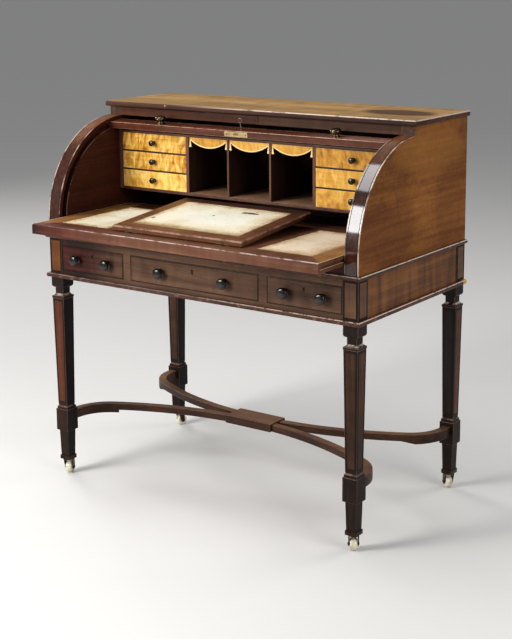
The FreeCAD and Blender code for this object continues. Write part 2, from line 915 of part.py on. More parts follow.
def nest_lines():
    """The nest's front, the inside of its sloping back and the back's outside, at bottom and top."""
    front = (nest_front, nest_front)
    inside = (nest_back_bottom - nest_back_thickness, nest_back_top - nest_back_thickness)
    outside = (nest_back_bottom, nest_back_top)
    return front, inside, outside


def nest_inside_at(z):
    inside = nest_lines()[1]
    share = (z - nest_bottom) / (nest_top - nest_bottom)
    return inside[0] + (inside[1] - inside[0]) * share


def nest_board(x0, x1, y0, z0, z1):
    front, inside, _ = nest_lines()
    room = nest_prism(-inner_half, inner_half, front, inside)
    return box(x0, x1, y0, nest_back_bottom, z0, z1).common(room).Solids[0]


def make_nest_carcase():
    front, inside, outside = nest_lines()
    half = nest_inner_half
    pieces = [nest_prism(side * half, side * inner_half, front, outside) for side in SIDES.values()]
    pieces.append(nest_board(-half, half, nest_front, nest_ceiling, nest_top))
    pieces.append(nest_board(-half, half, nest_front, nest_bottom, nest_floor))
    pieces.append(nest_prism(-half, half, inside, outside))
    return pieces


def row_floor(row):
    return nest_floor + row * (row_height + shelf_thickness)


def make_nest_dividers():
    pieces = []
    dividers = ((drawer_divider_x, drawer_divider_thickness), (pigeon_divider_x, pigeon_divider_thickness))
    for side in SIDES.values():
        for x, thickness in dividers:
            pieces.append(nest_board(side * x - thickness / 2, side * x + thickness / 2, nest_front,
                                     nest_floor, nest_ceiling))
        for row in range(1, len(row_names)):
            shelf_top = row_floor(row)
            pieces.append(nest_board(side * bay_inner, side * nest_inner_half, nest_front + shelf_setback,
                                     shelf_top - shelf_thickness, shelf_top))
    return pieces


def make_valance(x0, x1):
    """A swag between two tassels, cut from one thin board."""
    low = nest_ceiling - tassel_height
    bell = low + tassel_bell
    swag = nest_ceiling - swag_end_depth
    chord = x1 - x0 - 2 * tassel_neck
    points = [
        (x0, nest_ceiling),
        (x0, low),
        (x0 + tassel_width, low),
        (x0 + tassel_neck, bell, -quarter_share),
        (x0 + tassel_neck, swag),
        (x1 - tassel_neck, swag, (swag_depth - swag_end_depth) / chord),
        (x1 - tassel_neck, bell),
        (x1 - tassel_width, low, -quarter_share),
        (x1, low),
        (x1, nest_ceiling),
    ]
    front = nest_front + valance_setback
    return plate_across_y(points, front, front + valance_thickness)


def make_valances():
    inner, outer = pigeon_divider_x, drawer_divider_x
    inner_half_thickness = pigeon_divider_thickness / 2
    outer_half_thickness = drawer_divider_thickness / 2
    spans = [
        (-outer + outer_half_thickness, -inner - inner_half_thickness),
        (-inner + inner_half_thickness, inner - inner_half_thickness),
        (inner + inner_half_thickness, outer - outer_half_thickness),
    ]
    return [make_valance(x0, x1) for x0, x1 in spans]


def make_small_drawer(side, row):
    x0, x1 = sorted((side * bay_inner, side * nest_inner_half))
    left, right = x0 + small_gap, x1 - small_gap
    low = row_floor(row) + small_gap
    high = row_floor(row) + row_height - small_gap
    middle_x, middle_z = (left + right) / 2, (low + high) / 2
    box_front = nest_front + small_front_thickness
    back = nest_inside_at(high) - small_back_gap
    side_top = high - small_side_drop
    front = box(left, right, nest_front, box_front, low, high)
    front = round_edges(front, drawer_edge_round, lambda centre: near(centre.y, nest_front))
    front = front.cut(knob_hole(middle_x, nest_front, middle_z, small_knob_pin_diameter,
                                small_knob_pin_length))
    knob = turned_knob(middle_x, nest_front, middle_z, small_knob_head_diameter, small_knob_neck_diameter,
                       small_knob_base_diameter, small_knob_length, small_knob_pin_diameter,
                       small_knob_pin_length)
    return [
        front,
        box(left, left + small_wall, box_front, back, low, side_top),
        box(right - small_wall, right, box_front, back, low, side_top),
        box(left + small_wall, right - small_wall, back - small_wall, back, low, side_top),
        box(left + small_wall, right - small_wall, box_front, back - small_wall, low, low + small_bottom),
        knob,
    ]


# Lid, drawn with its lower edge level at the front

def lock_room(width, depth, z0, z1):
    middle = axis_y - lid_rail_middle
    return box(lid_lock_x - width / 2, lid_lock_x + width / 2, middle - depth / 2, middle + depth / 2,
               axis_z + z0, axis_z + z1)


def key_bore(radius, y0, y1):
    start = FreeCAD.Vector(key_x, y1, axis_z + lid_fitting_rise)
    return cylinder(radius, start, -Y_AXIS, y1 - y0)


def make_lid_rail():
    rail = annular_sector(-lid_half, lid_half, lid_rail_inner, lid_outer_radius, 0, lid_rail_angle)
    rail = rail.cut(lock_room(lock_plate_width, lock_plate_depth, 0, lock_plate_thickness))
    rail = rail.cut(lock_room(lid_lock_width, lid_lock_depth, 0, lid_lock_height))
    seat = axis_y - lid_outer_radius
    rail = rail.cut(key_bore(key_diameter / 2 + keyway_gap, seat, axis_y - lid_rail_middle))
    for side in SIDES.values():
        rail = rail.cut(knob_hole(side * lid_knob_x, seat, axis_z + lid_fitting_rise, knob_pin_diameter,
                                  knob_pin_length))
    return rail


def make_lid_panel():
    return annular_sector(-lid_half, lid_half, lid_panel_inner, lid_outer_radius,
                          lid_rail_angle, lid_arc_angle)


def make_lid_knobs():
    return [turned_knob(side * lid_knob_x, axis_y - lid_outer_radius, axis_z + lid_fitting_rise,
                        lid_knob_head_diameter, lid_knob_neck_diameter, lid_knob_base_diameter,
                        lid_knob_length, knob_pin_diameter, knob_pin_length) for side in SIDES.values()]


def bolt_room(clearance, z0, z1):
    return lock_room(bolt_width + 2 * clearance, bolt_thickness + 2 * clearance, z0, z1)


def make_lid_lock():
    plate = lock_room(lock_plate_width, lock_plate_depth, 0, lock_plate_thickness)
    case = lock_room(lid_lock_width, lid_lock_depth, 0, lid_lock_height)
    lock = plate.fuse(case).removeSplitter()
    lock = lock.cut(bolt_room(bolt_clearance, 0, bolt_length + bolt_clearance))
    case_face = axis_y - lid_rail_middle - lid_lock_depth / 2
    return lock.cut(key_bore(key_diameter / 2 + running_gap, case_face, case_face + key_seat))


def make_lid_bolt():
    return bolt_room(0, 0, bolt_length)


def make_key():
    case_face = axis_y - lid_rail_middle - lid_lock_depth / 2
    shaft_end = axis_y - lid_outer_radius - key_length
    key = key_bore(key_diameter / 2, shaft_end, case_face + key_seat)
    bow_radius = (key_bow_diameter - key_bow_wire) / 2
    bow_centre = FreeCAD.Vector(key_x, shaft_end - bow_radius, axis_z + lid_fitting_rise)
    bow = Part.makeTorus(bow_radius, key_bow_wire / 2, bow_centre, Z_AXIS)
    return key.fuse(bow).removeSplitter()


# Levers, drawn pointing to the front and turned to their angles

def lever_bar(x0, x1, reach, width):
    return box(x0, x1, axis_y - reach, axis_y, axis_z - width / 2, axis_z + width / 2)


def make_lever(side):
    x0 = side * lid_half
    x1 = x0 + side * lever_thickness
    pivot = FreeCAD.Vector(x0, axis_y, axis_z)
    lever = cylinder(lever_boss_diameter / 2, pivot, X_AXIS * side, lever_thickness)
    lever = lever.fuse(cylinder(lever_pivot_diameter / 2, pivot, X_AXIS * side,
                                lever_thickness + lever_pivot_length))
    lever = lever.fuse(turn_lid(lever_bar(x0, x1, lid_panel_inner, lever_width), lever_arm_angle))
    foot_half = lever_foot_angle / 2
    lever = lever.fuse(annular_sector(x0, x1, lid_panel_inner - lid_panel_thickness / 2, lid_outer_radius,
                                      lever_arm_angle - foot_half, lever_arm_angle + foot_half))
    tail = lever_bar(x0, x1, drive_reach + lever_tail_end, lever_tail_width)
    slot = lever_bar(x0, x1, drive_reach, lever_slot_width)
    slot = slot.cut(lever_bar(x0, x1, drive_drop, lever_tail_width))
    for reach in (drive_drop, drive_reach):
        slot_end = FreeCAD.Vector(x0, axis_y - reach, axis_z)
        slot = slot.fuse(cylinder(lever_slot_width / 2, slot_end, X_AXIS * side, lever_thickness))
    tail_angle = 270 + lid_swing_angle / 2
    lever = lever.fuse(turn_lid(tail.cut(slot), tail_angle))
    return lever.removeSplitter()


# Writing slide and slope

def leather_patches(z0, z1):
    front = slide_front + leather_front_margin
    patches = []
    for side in SIDES.values():
        patches.append(box(side * leather_inner_x, side * (slide_half - leather_outer_margin),
                           front, front + leather_length, z0, z1))
    return patches


def make_prop_plate():
    """The flat plate let into the slide, on which the prop's foot runs."""
    reach = prop_length * math.cos(math.radians(prop_ground_angle))
    foot_y = hinge_y + prop_distance * math.cos(math.radians(slope_angle)) - reach
    half = prop_width / 2 + prop_plate_margin
    return box(-half, half, foot_y - prop_plate_length / 2, foot_y + prop_plate_length / 2,
               slide_top - prop_plate_thickness, slide_top)


def strike_room():
    """The mortise that takes the bolt when the lid is down, where it lies with the slide drawn out."""
    middle = axis_y - lid_rail_middle * math.cos(math.radians(lid_closed_angle)) - slide_travel
    half_x = bolt_width / 2 + strike_gap
    half_y = bolt_thickness / 2 + strike_gap
    return box(lid_lock_x - half_x, lid_lock_x + half_x, middle - half_y, middle + half_y,
               slide_top - bolt_throw, slide_top)


def lower_leaf(side):
    x = side * hinge_x
    return box(x - hinge_length / 2, x + hinge_length / 2, hinge_y - knuckle_web / 2,
               hinge_y + hinge_leaf_width, slide_top - hinge_leaf_thickness, slide_top)


def make_slide():
    board = box(-slide_half, slide_half, slide_front, slide_back, slide_bottom, slide_top)
    board = round_edges(board, slide_nose_round, lambda centre: (
        near(centre.y, slide_front) and near(centre.x, 0)))
    middle = (slide_bottom + slide_top) / 2
    groove = slide_tongue_height / 2 + slide_tongue_gap
    groove_depth = slide_tongue_reach - slide_side_gap + slide_tongue_gap
    for side in SIDES.values():
        board = board.cut(box(side * (slide_half - groove_depth), side * slide_half,
                              slide_front + slide_groove_inset, slide_back,
                              middle - groove, middle + groove))
        board = board.cut(lower_leaf(side))
    for patch in leather_patches(slide_top - leather_thickness, slide_top):
        board = board.cut(patch)
    return board.cut(make_prop_plate()).cut(strike_room())


def make_slide_runners():
    middle = (slide_bottom + slide_top) / 2
    half = slide_tongue_height / 2
    front = front_y + leather_front_margin
    return [box(side * (inner_half - slide_tongue_reach), side * inner_half, front,
                front + slide_depth - slide_travel, middle - half, middle + half) for side in SIDES.values()]


def make_drive_bracket(side):
    low = drive_pin_z - drive_pin_diameter
    half = drive_bracket_width / 2
    bracket = box(side * drive_bracket_inner, side * drive_bracket_outer,
                  drive_pin_y - half, drive_pin_y + half, low, slide_bottom)
    start = FreeCAD.Vector(side * drive_bracket_inner, drive_pin_y, drive_pin_z)
    pin_length = lid_half + lever_thickness - drive_bracket_inner
    return bracket.fuse(cylinder(drive_pin_diameter / 2, start, X_AXIS * side, pin_length)).removeSplitter()


def knuckle(x0, x1):
    start = FreeCAD.Vector(x0, hinge_y, hinge_z)
    return cylinder(knuckle_diameter / 2, start, X_AXIS, x1 - x0)


def make_lower_hinge(side):
    x = side * hinge_x
    start, end = x - hinge_length / 2, x + hinge_length / 2
    inner = hinge_length * knuckle_share / 2
    hinge = lower_leaf(side)
    for x0, x1 in ((start, x - inner), (x + inner, end)):
        web = box(x0, x1, hinge_y - knuckle_web / 2, hinge_y + knuckle_web / 2, slide_top, hinge_z)
        hinge = hinge.fuse(knuckle(x0, x1)).fuse(web)
    pin = cylinder(hinge_pin_diameter / 2, FreeCAD.Vector(start, hinge_y, hinge_z), X_AXIS, hinge_length)
    return hinge.fuse(pin).removeSplitter()


def upper_leaf(side):
    x = side * hinge_x
    front = hinge_y + knuckle_diameter / 2 + knuckle_gap
    return box(x - hinge_length / 2, x + hinge_length / 2, front, hinge_y + hinge_leaf_width,
               slope_bottom, slope_bottom + hinge_leaf_thickness)


def make_upper_hinge(side):
    x = side * hinge_x
    inner = hinge_length * knuckle_share / 2 - knuckle_gap
    tab = box(x - inner, x + inner, hinge_y, hinge_y + hinge_leaf_width, slope_bottom,
              slope_bottom + hinge_leaf_thickness)
    hinge = upper_leaf(side).fuse(tab).fuse(knuckle(x - inner, x + inner))
    start = FreeCAD.Vector(x - hinge_length / 2, hinge_y, hinge_z)
    bore = cylinder(hinge_pin_diameter / 2 + running_gap, start, X_AXIS, hinge_length)
    return tilt_slope(hinge.cut(bore).removeSplitter())


def make_slope():
    half = slope_width / 2
    board = box(-half, half, slope_front, slope_back, slope_bottom, slope_top)
    board = round_edges(board, slope_round, lambda centre: not near(centre.z, (slope_bottom + slope_top) / 2))
    board = board.cut(slope_leather_room())
    clear = knuckle_diameter / 2 + knuckle_gap
    for side in SIDES.values():
        x = side * hinge_x
        board = board.cut(box(x - hinge_length / 2 - knuckle_gap, x + hinge_length / 2 + knuckle_gap,
                              slope_front, hinge_y + clear, slope_bottom, hinge_z + clear))
        board = board.cut(upper_leaf(side))
    half_recess = prop_width / 2 + knuckle_gap + prop_lug_thickness
    board = board.cut(box(-half_recess, half_recess, prop_y - prop_length - prop_recess_margin,
                          prop_y + prop_recess_margin, slope_bottom, slope_bottom + prop_recess_depth))
    return tilt_slope(board)


def slope_leather_room():
    half = slope_width / 2 - slope_leather_side
    return box(-half, half, slope_front + slope_leather_front, slope_back - slope_leather_rear,
               slope_top - leather_thickness, slope_top)


def make_prop_lugs():
    inner = prop_width / 2 + knuckle_gap
    outer = inner + prop_lug_thickness
    lug_half = prop_lug_thickness / 2
    ceiling = slope_bottom + prop_recess_depth
    lugs = cylinder(prop_pin_diameter / 2, FreeCAD.Vector(-outer, prop_y, hinge_z), X_AXIS, 2 * outer)
    for side in SIDES.values():
        lugs = lugs.fuse(box(side * inner, side * outer, prop_y - lug_half, prop_y + lug_half,
                             slope_bottom, ceiling))
    return tilt_slope(lugs.removeSplitter())


def make_prop():
    half = prop_width / 2
    foot = prop_thickness / 2
    y_foot = prop_y - prop_length
    points = [
        (y_foot, hinge_z - foot, half_share),
        (prop_y, hinge_z - foot),
        (prop_y, hinge_z + foot),
        (y_foot, hinge_z + foot),
    ]
    strut = plate_across_x(points, -half, half)
    start = FreeCAD.Vector(-half, prop_y, hinge_z)
    strut = strut.fuse(cylinder(prop_barrel_diameter / 2, start, X_AXIS, prop_width))
    strut = strut.cut(cylinder(prop_pin_diameter / 2 + running_gap, start, X_AXIS, prop_width))
    strut = strut.removeSplitter()
    strut.rotate(FreeCAD.Vector(0, prop_y, hinge_z), X_AXIS, prop_angle)
    return tilt_slope(strut)


# Assembly

def base_nodes():
    nodes = {"leg_" + corner: [make_leg(*CORNERS[corner])] for corner in CORNERS}
    rails = [make_stretcher(end) for end in (-1, 1)]
    nodes["stretcher_rails"] = rails
    nodes["stretcher_block"] = make_stretcher_block(rails)
    nodes["side_aprons"] = make_side_aprons()
    nodes["back_apron"] = [make_back_apron()]
    nodes["front_frame"] = make_front_frame()
    nodes["drawer_runners"] = make_drawer_runners()
    nodes["lower_moulding"] = make_lower_moulding()
    nodes["waist_moulding"] = make_waist_moulding()
    nodes["caster_sockets"] = [make_socket(*CORNERS[corner]) for corner in CORNERS]
    for corner in CORNERS:
        nodes["caster_fork_" + corner] = [make_fork(corner)]
        nodes["caster_wheel_" + corner] = [make_wheel(corner)]
    for name, span in drawer_spans().items():
        nodes["drawer_" + name] = make_drawer(*span)
        nodes["drawer_knobs_" + name] = make_drawer_knobs(*span)
        nodes["drawer_lock_" + name] = make_drawer_lock(*span)
    return nodes


def case_nodes():
    nodes = {"end_" + name: make_end(side) for name, side in SIDES.items()}
    nodes["bed_board"] = [make_bed()]
    nodes["case_back"] = [make_case_back()]
    nodes["top_board"] = [make_top()]
    nodes["top_frieze"] = make_frieze()
    nodes["nest_carcase"] = make_nest_carcase()
    nodes["nest_dividers"] = make_nest_dividers()
    nodes["pigeonhole_valances"] = make_valances()
    for name, side in SIDES.items():
        for row, row_name in enumerate(row_names):
            nodes["small_drawer_" + name + "_" + row_name] = make_small_drawer(side, row)
    return nodes


def lid_nodes():
    flat = {
        "cylinder_panel": [make_lid_panel()],
        "cylinder_rail": [make_lid_rail()],
        "cylinder_knobs": make_lid_knobs(),
        "cylinder_lock": [make_lid_lock()],
        "lock_bolt": [make_lid_bolt()],
        "cylinder_key": [make_key()],
    }
    nodes = {name: [turn_lid(solid, lid_open_angle) for solid in solids] for name, solids in flat.items()}
    nodes["cylinder_levers"] = [make_lever(side) for side in SIDES.values()]
    return nodes


def slide_nodes():
    both = SIDES.values()
    fittings = [make_lower_hinge(side) for side in both] + [make_drive_bracket(side) for side in both]
    return {
        "slide_board": [make_slide()],
        "slide_runners": make_slide_runners(),
        "slide_leathers": leather_patches(slide_top - leather_thickness, slide_top),
        "slide_fittings": fittings + [make_prop_plate()],
        "slope_board": [make_slope()],
        "slope_leather": [tilt_slope(slope_leather_room())],
        "slope_fittings": [make_upper_hinge(side) for side in both] + [make_prop_lugs()],
        "slope_prop": [make_prop()],
    }


def main():
    os.makedirs("parts", exist_ok=True)
    nodes = {**base_nodes(), **case_nodes(), **lid_nodes(), **slide_nodes()}
    for name, solids in nodes.items():
        shape = solids[0] if len(solids) == 1 else Part.makeCompound(solids)
        shape.exportStep("parts/" + name + ".step")
    print(len(nodes), "nodes, lid opens from", lid_closed_angle, "to", lid_open_angle)


main()
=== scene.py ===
"""Looks of the cylinder desk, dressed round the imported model. Lengths are in metres."""
import math
from functools import partialmethod, reduce

import bpy
from mathutils import Matrix, Vector


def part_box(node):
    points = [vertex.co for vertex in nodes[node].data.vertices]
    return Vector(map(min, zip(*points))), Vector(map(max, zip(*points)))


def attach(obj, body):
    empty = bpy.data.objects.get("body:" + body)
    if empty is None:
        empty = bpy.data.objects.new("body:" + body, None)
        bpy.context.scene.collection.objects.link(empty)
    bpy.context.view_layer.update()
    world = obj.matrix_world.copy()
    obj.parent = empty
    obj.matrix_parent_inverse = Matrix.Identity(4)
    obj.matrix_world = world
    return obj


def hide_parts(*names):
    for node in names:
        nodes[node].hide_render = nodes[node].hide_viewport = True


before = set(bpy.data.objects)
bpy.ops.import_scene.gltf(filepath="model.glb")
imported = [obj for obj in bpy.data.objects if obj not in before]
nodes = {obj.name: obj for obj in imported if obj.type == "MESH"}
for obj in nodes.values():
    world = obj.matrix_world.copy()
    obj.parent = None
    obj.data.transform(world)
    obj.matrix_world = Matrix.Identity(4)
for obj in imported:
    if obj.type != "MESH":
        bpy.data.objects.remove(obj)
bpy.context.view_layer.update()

# Sizes repeated from the part's source
LID_AXIS_Y, LID_AXIS_Z = -0.007, 0.730
END_RADIUS = 0.265
CASE_BOTTOM, FRIEZE_BOTTOM = 0.692, 0.995
LINING_X, HALF_WIDTH = 0.464, 0.492
FRONT_Y = -0.272
FRIEZE_JOINT_X = 0.022
LEG_X, LEG_Y = 0.470, 0.250
SHAFT_BOTTOM, SHAFT_TOP = 0.206, 0.512
SHAFT_BOTTOM_HALF, SHAFT_TOP_HALF = 0.016, 0.020
STILE_HALF = 0.022
BASE_BOTTOM, BASE_TOP = 0.572, 0.682
DRAWER_FRONT_BACK = -0.2505
NEST_FRONT, NEST_CEILING = -0.020, 0.949
SMALL_FRONT = 0.008
LID_OPEN_ANGLE = math.radians(79.793)
LID_RADIUS = 0.254
LID_RAIL_MIDDLE = 0.245
LID_FITTING_RISE = 0.015
LID_KNOB_X = 0.283
SLOPE_ANGLE = math.radians(5.2)
SLOPE_HINGE = (0, -0.334, 0.7429)
SLIDE_MITRE = (0.396, -0.322)

# Inlay
STRING_WIDTH = 0.0023
RIM_STRINGS = ((0.4575, 0.0017), (0.4868, 0.0014))
DRAWER_STRING, DRAWER_STRING_INSET = 0.0019, 0.0013
STRING_PROUD = 0.00015
STRING_DEPTH = 0.0004
STRING_INSET = 0.0035
PANEL_INSET = 0.0045

SIDES = (-1, 1)
CORNERS = {"front_left": (-1, -1), "front_right": (1, -1), "rear_left": (-1, 1), "rear_right": (1, 1)}
DRAWERS = ("left", "centre", "right")
ROWS = ("bottom", "middle", "top")
SMALL_DRAWERS = [name + "_" + row for name in ("left", "right") for row in ROWS]


def linear(red, green, blue):
    """An sRGB colour of 0 to 255 as linear RGBA."""
    def channel(value):
        share = value / 255
        return share / 12.92 if share <= 0.04045 else ((share + 0.055) / 1.055) ** 2.4
    return (channel(red), channel(green), channel(blue), 1.0)


# Materials

class Shader:
    """A material's node tree, built by short calls that return sockets."""

    def __init__(self, name):
        self.material = bpy.data.materials.new(name)
        self.material.use_nodes = True
        self.tree = self.material.node_tree
        self.tree.nodes.clear()

    def add(self, kind, inputs=None, **settings):
        made = self.tree.nodes.new(kind)
        for key, value in settings.items():
            setattr(made, key, value)
        for key, value in (inputs or {}).items():
            self.feed(made.inputs[key], value)
        return made

    def feed(self, socket, value):
        if isinstance(value, bpy.types.NodeSocket):
            self.tree.links.new(value, socket)
        else:
            socket.default_value = value

    def math(self, operation, first, second=0.0):
        made = self.add("ShaderNodeMath", {0: first, 1: second}, operation=operation)
        return made.outputs[0]

    plus = partialmethod(math, "ADD")
    minus = partialmethod(math, "SUBTRACT")
    times = partialmethod(math, "MULTIPLY")
    abs = partialmethod(math, "ABSOLUTE")

    def mix(self, factor, first, second):
        made = self.add("ShaderNodeMix", {0: factor, 6: first, 7: second}, data_type="RGBA")
        return made.outputs[2]

    def tint(self, colour, mask, share, tone):
        """Lay a share of a tone over a colour where a mask holds."""
        return self.mix(self.times(mask, share), colour, linear(*tone))

    def swing(self, noise, reach):
        """Noise moved from round a half to round zero, and scaled."""
        return self.times(self.minus(noise, 0.5), reach)

    def ramp(self, factor, stops):
        made = self.add("ShaderNodeValToRGB", {0: factor})
        elements = made.color_ramp.elements
        while len(elements) < len(stops):
            elements.new(0.5)
        for element, (place, colour) in zip(elements, stops):
            element.position = place
            element.color = colour
        return made.outputs[0]

    def step(self, value, low, high):
        """0 below low, 1 above high, smooth between; with low above high it falls."""
        made = self.add("ShaderNodeMapRange", {0: value, 1: low, 2: high, 3: 0.0, 4: 1.0},
                        interpolation_type="SMOOTHSTEP")
        return made.outputs[0]

    def noise(self, vector, scale, detail=4.0, roughness=0.55, distortion=0.0):
        made = self.add("ShaderNodeTexNoise", {"Vector": vector, "Scale": scale, "Detail": detail,
                                               "Roughness": roughness, "Distortion": distortion})
        return made.outputs[0]

    def place(self):
        return self.add("ShaderNodeTexCoord").outputs["Object"]

    def normal(self):
        return self.add("ShaderNodeTexCoord").outputs["Normal"]

    def split(self, vector):
        return self.add("ShaderNodeSeparateXYZ", {0: vector}).outputs

    def at(self, axis):
        """A point's place along one axis."""
        return self.split(self.place())[axis]

    def shifted(self, shift):
        """The place on the object, moved so that no two materials have the same pattern."""
        return self.add("ShaderNodeVectorMath", {0: self.place(), 1: shift}, operation="ADD").outputs[0]

    def stretched(self, parts, along, across):
        """A place scaled one way along the grain and another way across it."""
        scaled = [self.times(part, scale) for part, scale in zip(parts, (along, across, across))]
        return self.add("ShaderNodeCombineXYZ", dict(enumerate(scaled))).outputs[0]

    def bump(self, height, strength, distance):
        made = self.add("ShaderNodeBump", {"Height": height, "Strength": strength, "Distance": distance})
        return made.outputs[0]

    def finish(self, **inputs):
        named = {key.replace("_", " "): value for key, value in inputs.items()}
        surface = self.add("ShaderNodeBsdfPrincipled", named)
        self.add("ShaderNodeOutputMaterial", {0: surface.outputs[0]})
        return self.material


GRAIN_ORDER = {"x": (0, 1, 2), "y": (1, 0, 2), "z": (2, 0, 1)}
BROAD_SHARE, STREAK_SHARE, FINE_SHARE = 0.55, 0.42, 0.14
GRAIN_MIDDLE, RAMP_MIDDLE = 0.555, 0.505
PORE_TONE, BLOTCH_TONE = (20, 10, 6), (28, 15, 9)


def grain_parts(mat, place, grain):
    """The parts of a place: along the grain first, then the two across it."""
    parts = mat.split(place)
    return [parts[index] for index in GRAIN_ORDER[grain]]


def tone_ramp(mat, value, tones):
    dark, middle, light = (linear(*tone) for tone in tones)
    return mat.ramp(value, [(0.22, dark), (0.5, middle), (0.8, light)])


def wood(name, tones, grain="x", seed=0.0, figure=0.25, figure_scale=(26, 5), lean=0.0, contrast=1.0, zones=(),
         marks=(), rough=0.42, coat=0.04, spec=0.12, gloss=None, wear=None, wear_share=0.6, pores=0.45):
    """Polished wood: broad tone, streaks and pores along the grain, and figure across it.

    zones are (mask, tones) and marks are (mask, colour); each mask is a function of the Shader.
    gloss is (mask, roughness, coat) for a better polished zone. lean tips the figure off square.
    """
    mat = Shader(name)
    place = mat.shifted((seed * 1.37, seed * 0.71, seed * 2.11))
    parts = grain_parts(mat, place, grain)
    broad = mat.noise(mat.stretched(parts, 0.9, 6), 1.3, 3.0, 0.5, 0.6)
    streak = mat.noise(mat.stretched(parts, 3, 85), 1.0, 6.0, 0.62, 0.25)
    fine = mat.noise(mat.stretched(parts, 14, 420), 1.0, 3.0, 0.6)
    along, across, across2 = parts
    tipped = (mat.plus(along, mat.times(across2, lean)), across, across2)
    ripple = mat.noise(mat.stretched(tipped, *figure_scale), 1.0, 3.0, 0.55, 1.1)
    value = mat.times(broad, BROAD_SHARE)
    value = mat.plus(value, mat.times(streak, STREAK_SHARE))
    value = mat.plus(value, mat.times(fine, FINE_SHARE))
    value = mat.plus(value, mat.swing(ripple, figure))
    value = mat.plus(mat.times(mat.minus(value, GRAIN_MIDDLE), contrast), RAMP_MIDDLE)
    colour = tone_ramp(mat, value, tones)
    for mask, other in zones:
        colour = mat.mix(mask(mat), colour, tone_ramp(mat, value, other))
    pore = mat.step(fine, 0.58, 0.74)
    colour = mat.tint(colour, pore, pores, PORE_TONE)
    blotch = mat.step(mat.noise(place, 5.5, 3.0, 0.6, 0.4), 0.52, 0.78)
    colour = mat.tint(colour, blotch, 0.32, BLOTCH_TONE)
    for mask, other in marks:
        colour = mat.mix(mask(mat), colour, linear(*other))
    if wear:
        rub = mat.step(mat.noise(place, 34.0, 4.0, 0.65, 0.3), 0.34, 0.58)
        colour = mat.tint(colour, rub, wear_share, wear)
    polish = mat.noise(place, 22.0, 4.0, 0.6)
    polish = mat.plus(rough - 0.1, mat.times(polish, 0.2))
    varnish = coat
    if gloss:
        mask, smooth, extra = gloss
        share = mask(mat)
        polish = mat.add("ShaderNodeMix", {0: share, 2: polish, 3: smooth}).outputs[0]
        varnish = mat.plus(coat, mat.times(share, extra))
    height = mat.minus(streak, mat.times(pore, 0.6))
    return mat.finish(Base_Color=colour, Roughness=polish, Specular_IOR_Level=spec, Coat_Weight=varnish,
                      Coat_Roughness=0.08, Normal=mat.bump(height, 0.18, 0.0003))


def metal(name, clean, tarnish, rough, seed=0.0):
    """Metal clouded and specked with tarnish."""
    mat = Shader(name)
    place = mat.shifted((seed, seed, seed))
    cloud = mat.noise(place, 70.0, 5.0, 0.62, 0.3)
    speck = mat.noise(place, 420.0, 2.0, 0.5)
    grime = mat.plus(mat.times(mat.step(cloud, 0.45, 0.7), 0.7), mat.times(mat.step(speck, 0.6, 0.72), 0.3))
    colour = mat.mix(grime, linear(*clean), linear(*tarnish))
    polish = mat.plus(rough, mat.times(grime, 0.25))
    return mat.finish(Base_Color=colour, Metallic=1.0, Roughness=polish, Normal=mat.bump(speck, 0.12, 0.0003))


def ceramic(name):
    """White glaze, crazed and dirty."""
    mat = Shader(name)
    place = mat.place()
    craze = mat.add("ShaderNodeTexVoronoi", {"Vector": place, "Scale": 240.0}, feature="DISTANCE_TO_EDGE").outputs[0]
    crack = mat.step(craze, 0.05, 0.0)
    dirt = mat.step(mat.noise(place, 60.0, 4.0), 0.42, 0.72)
    colour = mat.tint(linear(222, 214, 188), dirt, 0.8, (122, 106, 76))
    colour = mat.tint(colour, crack, 0.4, (104, 86, 62))
    return mat.finish(Base_Color=colour, Roughness=0.16, Coat_Weight=0.5, Coat_Roughness=0.05)


def ebony(name, rough=0.16, spec=0.42):
    """Wood stained black and polished."""
    mat = Shader(name)
    cloud = mat.noise(mat.place(), 90.0, 4.0, 0.6)
    colour = mat.mix(cloud, linear(7, 5, 4), linear(26, 18, 13))
    polish = mat.plus(rough, mat.times(cloud, 0.07))
    return mat.finish(Base_Color=colour, Roughness=polish, Specular_IOR_Level=spec)


def blackwood(name):
    """Black stained stringing, duller than the wood round it."""
    mat = Shader(name)
    cloud = mat.noise(mat.place(), 130.0, 4.0, 0.6)
    colour = mat.mix(cloud, linear(4, 3, 3), linear(15, 10, 8))
    return mat.finish(Base_Color=colour, Roughness=0.62, Specular_IOR_Level=0.12)


def box_distance(mat, centre, half):
    """How far a point lies inside a rectangle's edges, in its own plan."""
    x, y, _ = mat.split(mat.place())
    reach_x = mat.minus(half[0], mat.abs(mat.minus(x, centre[0])))
    reach_y = mat.minus(half[1], mat.abs(mat.minus(y, centre[1])))
    return mat.math("MINIMUM", reach_x, reach_y)


def oval_distance(mat, places, centre, reaches):
    """The square of a point's distance from an oval's centre, 1 on its edge."""
    squares = []
    for place, middle, reach in zip(places, centre, reaches):
        away = mat.math("DIVIDE", mat.minus(place, middle), reach)
        squares.append(mat.times(away, away))
    return mat.plus(*squares)


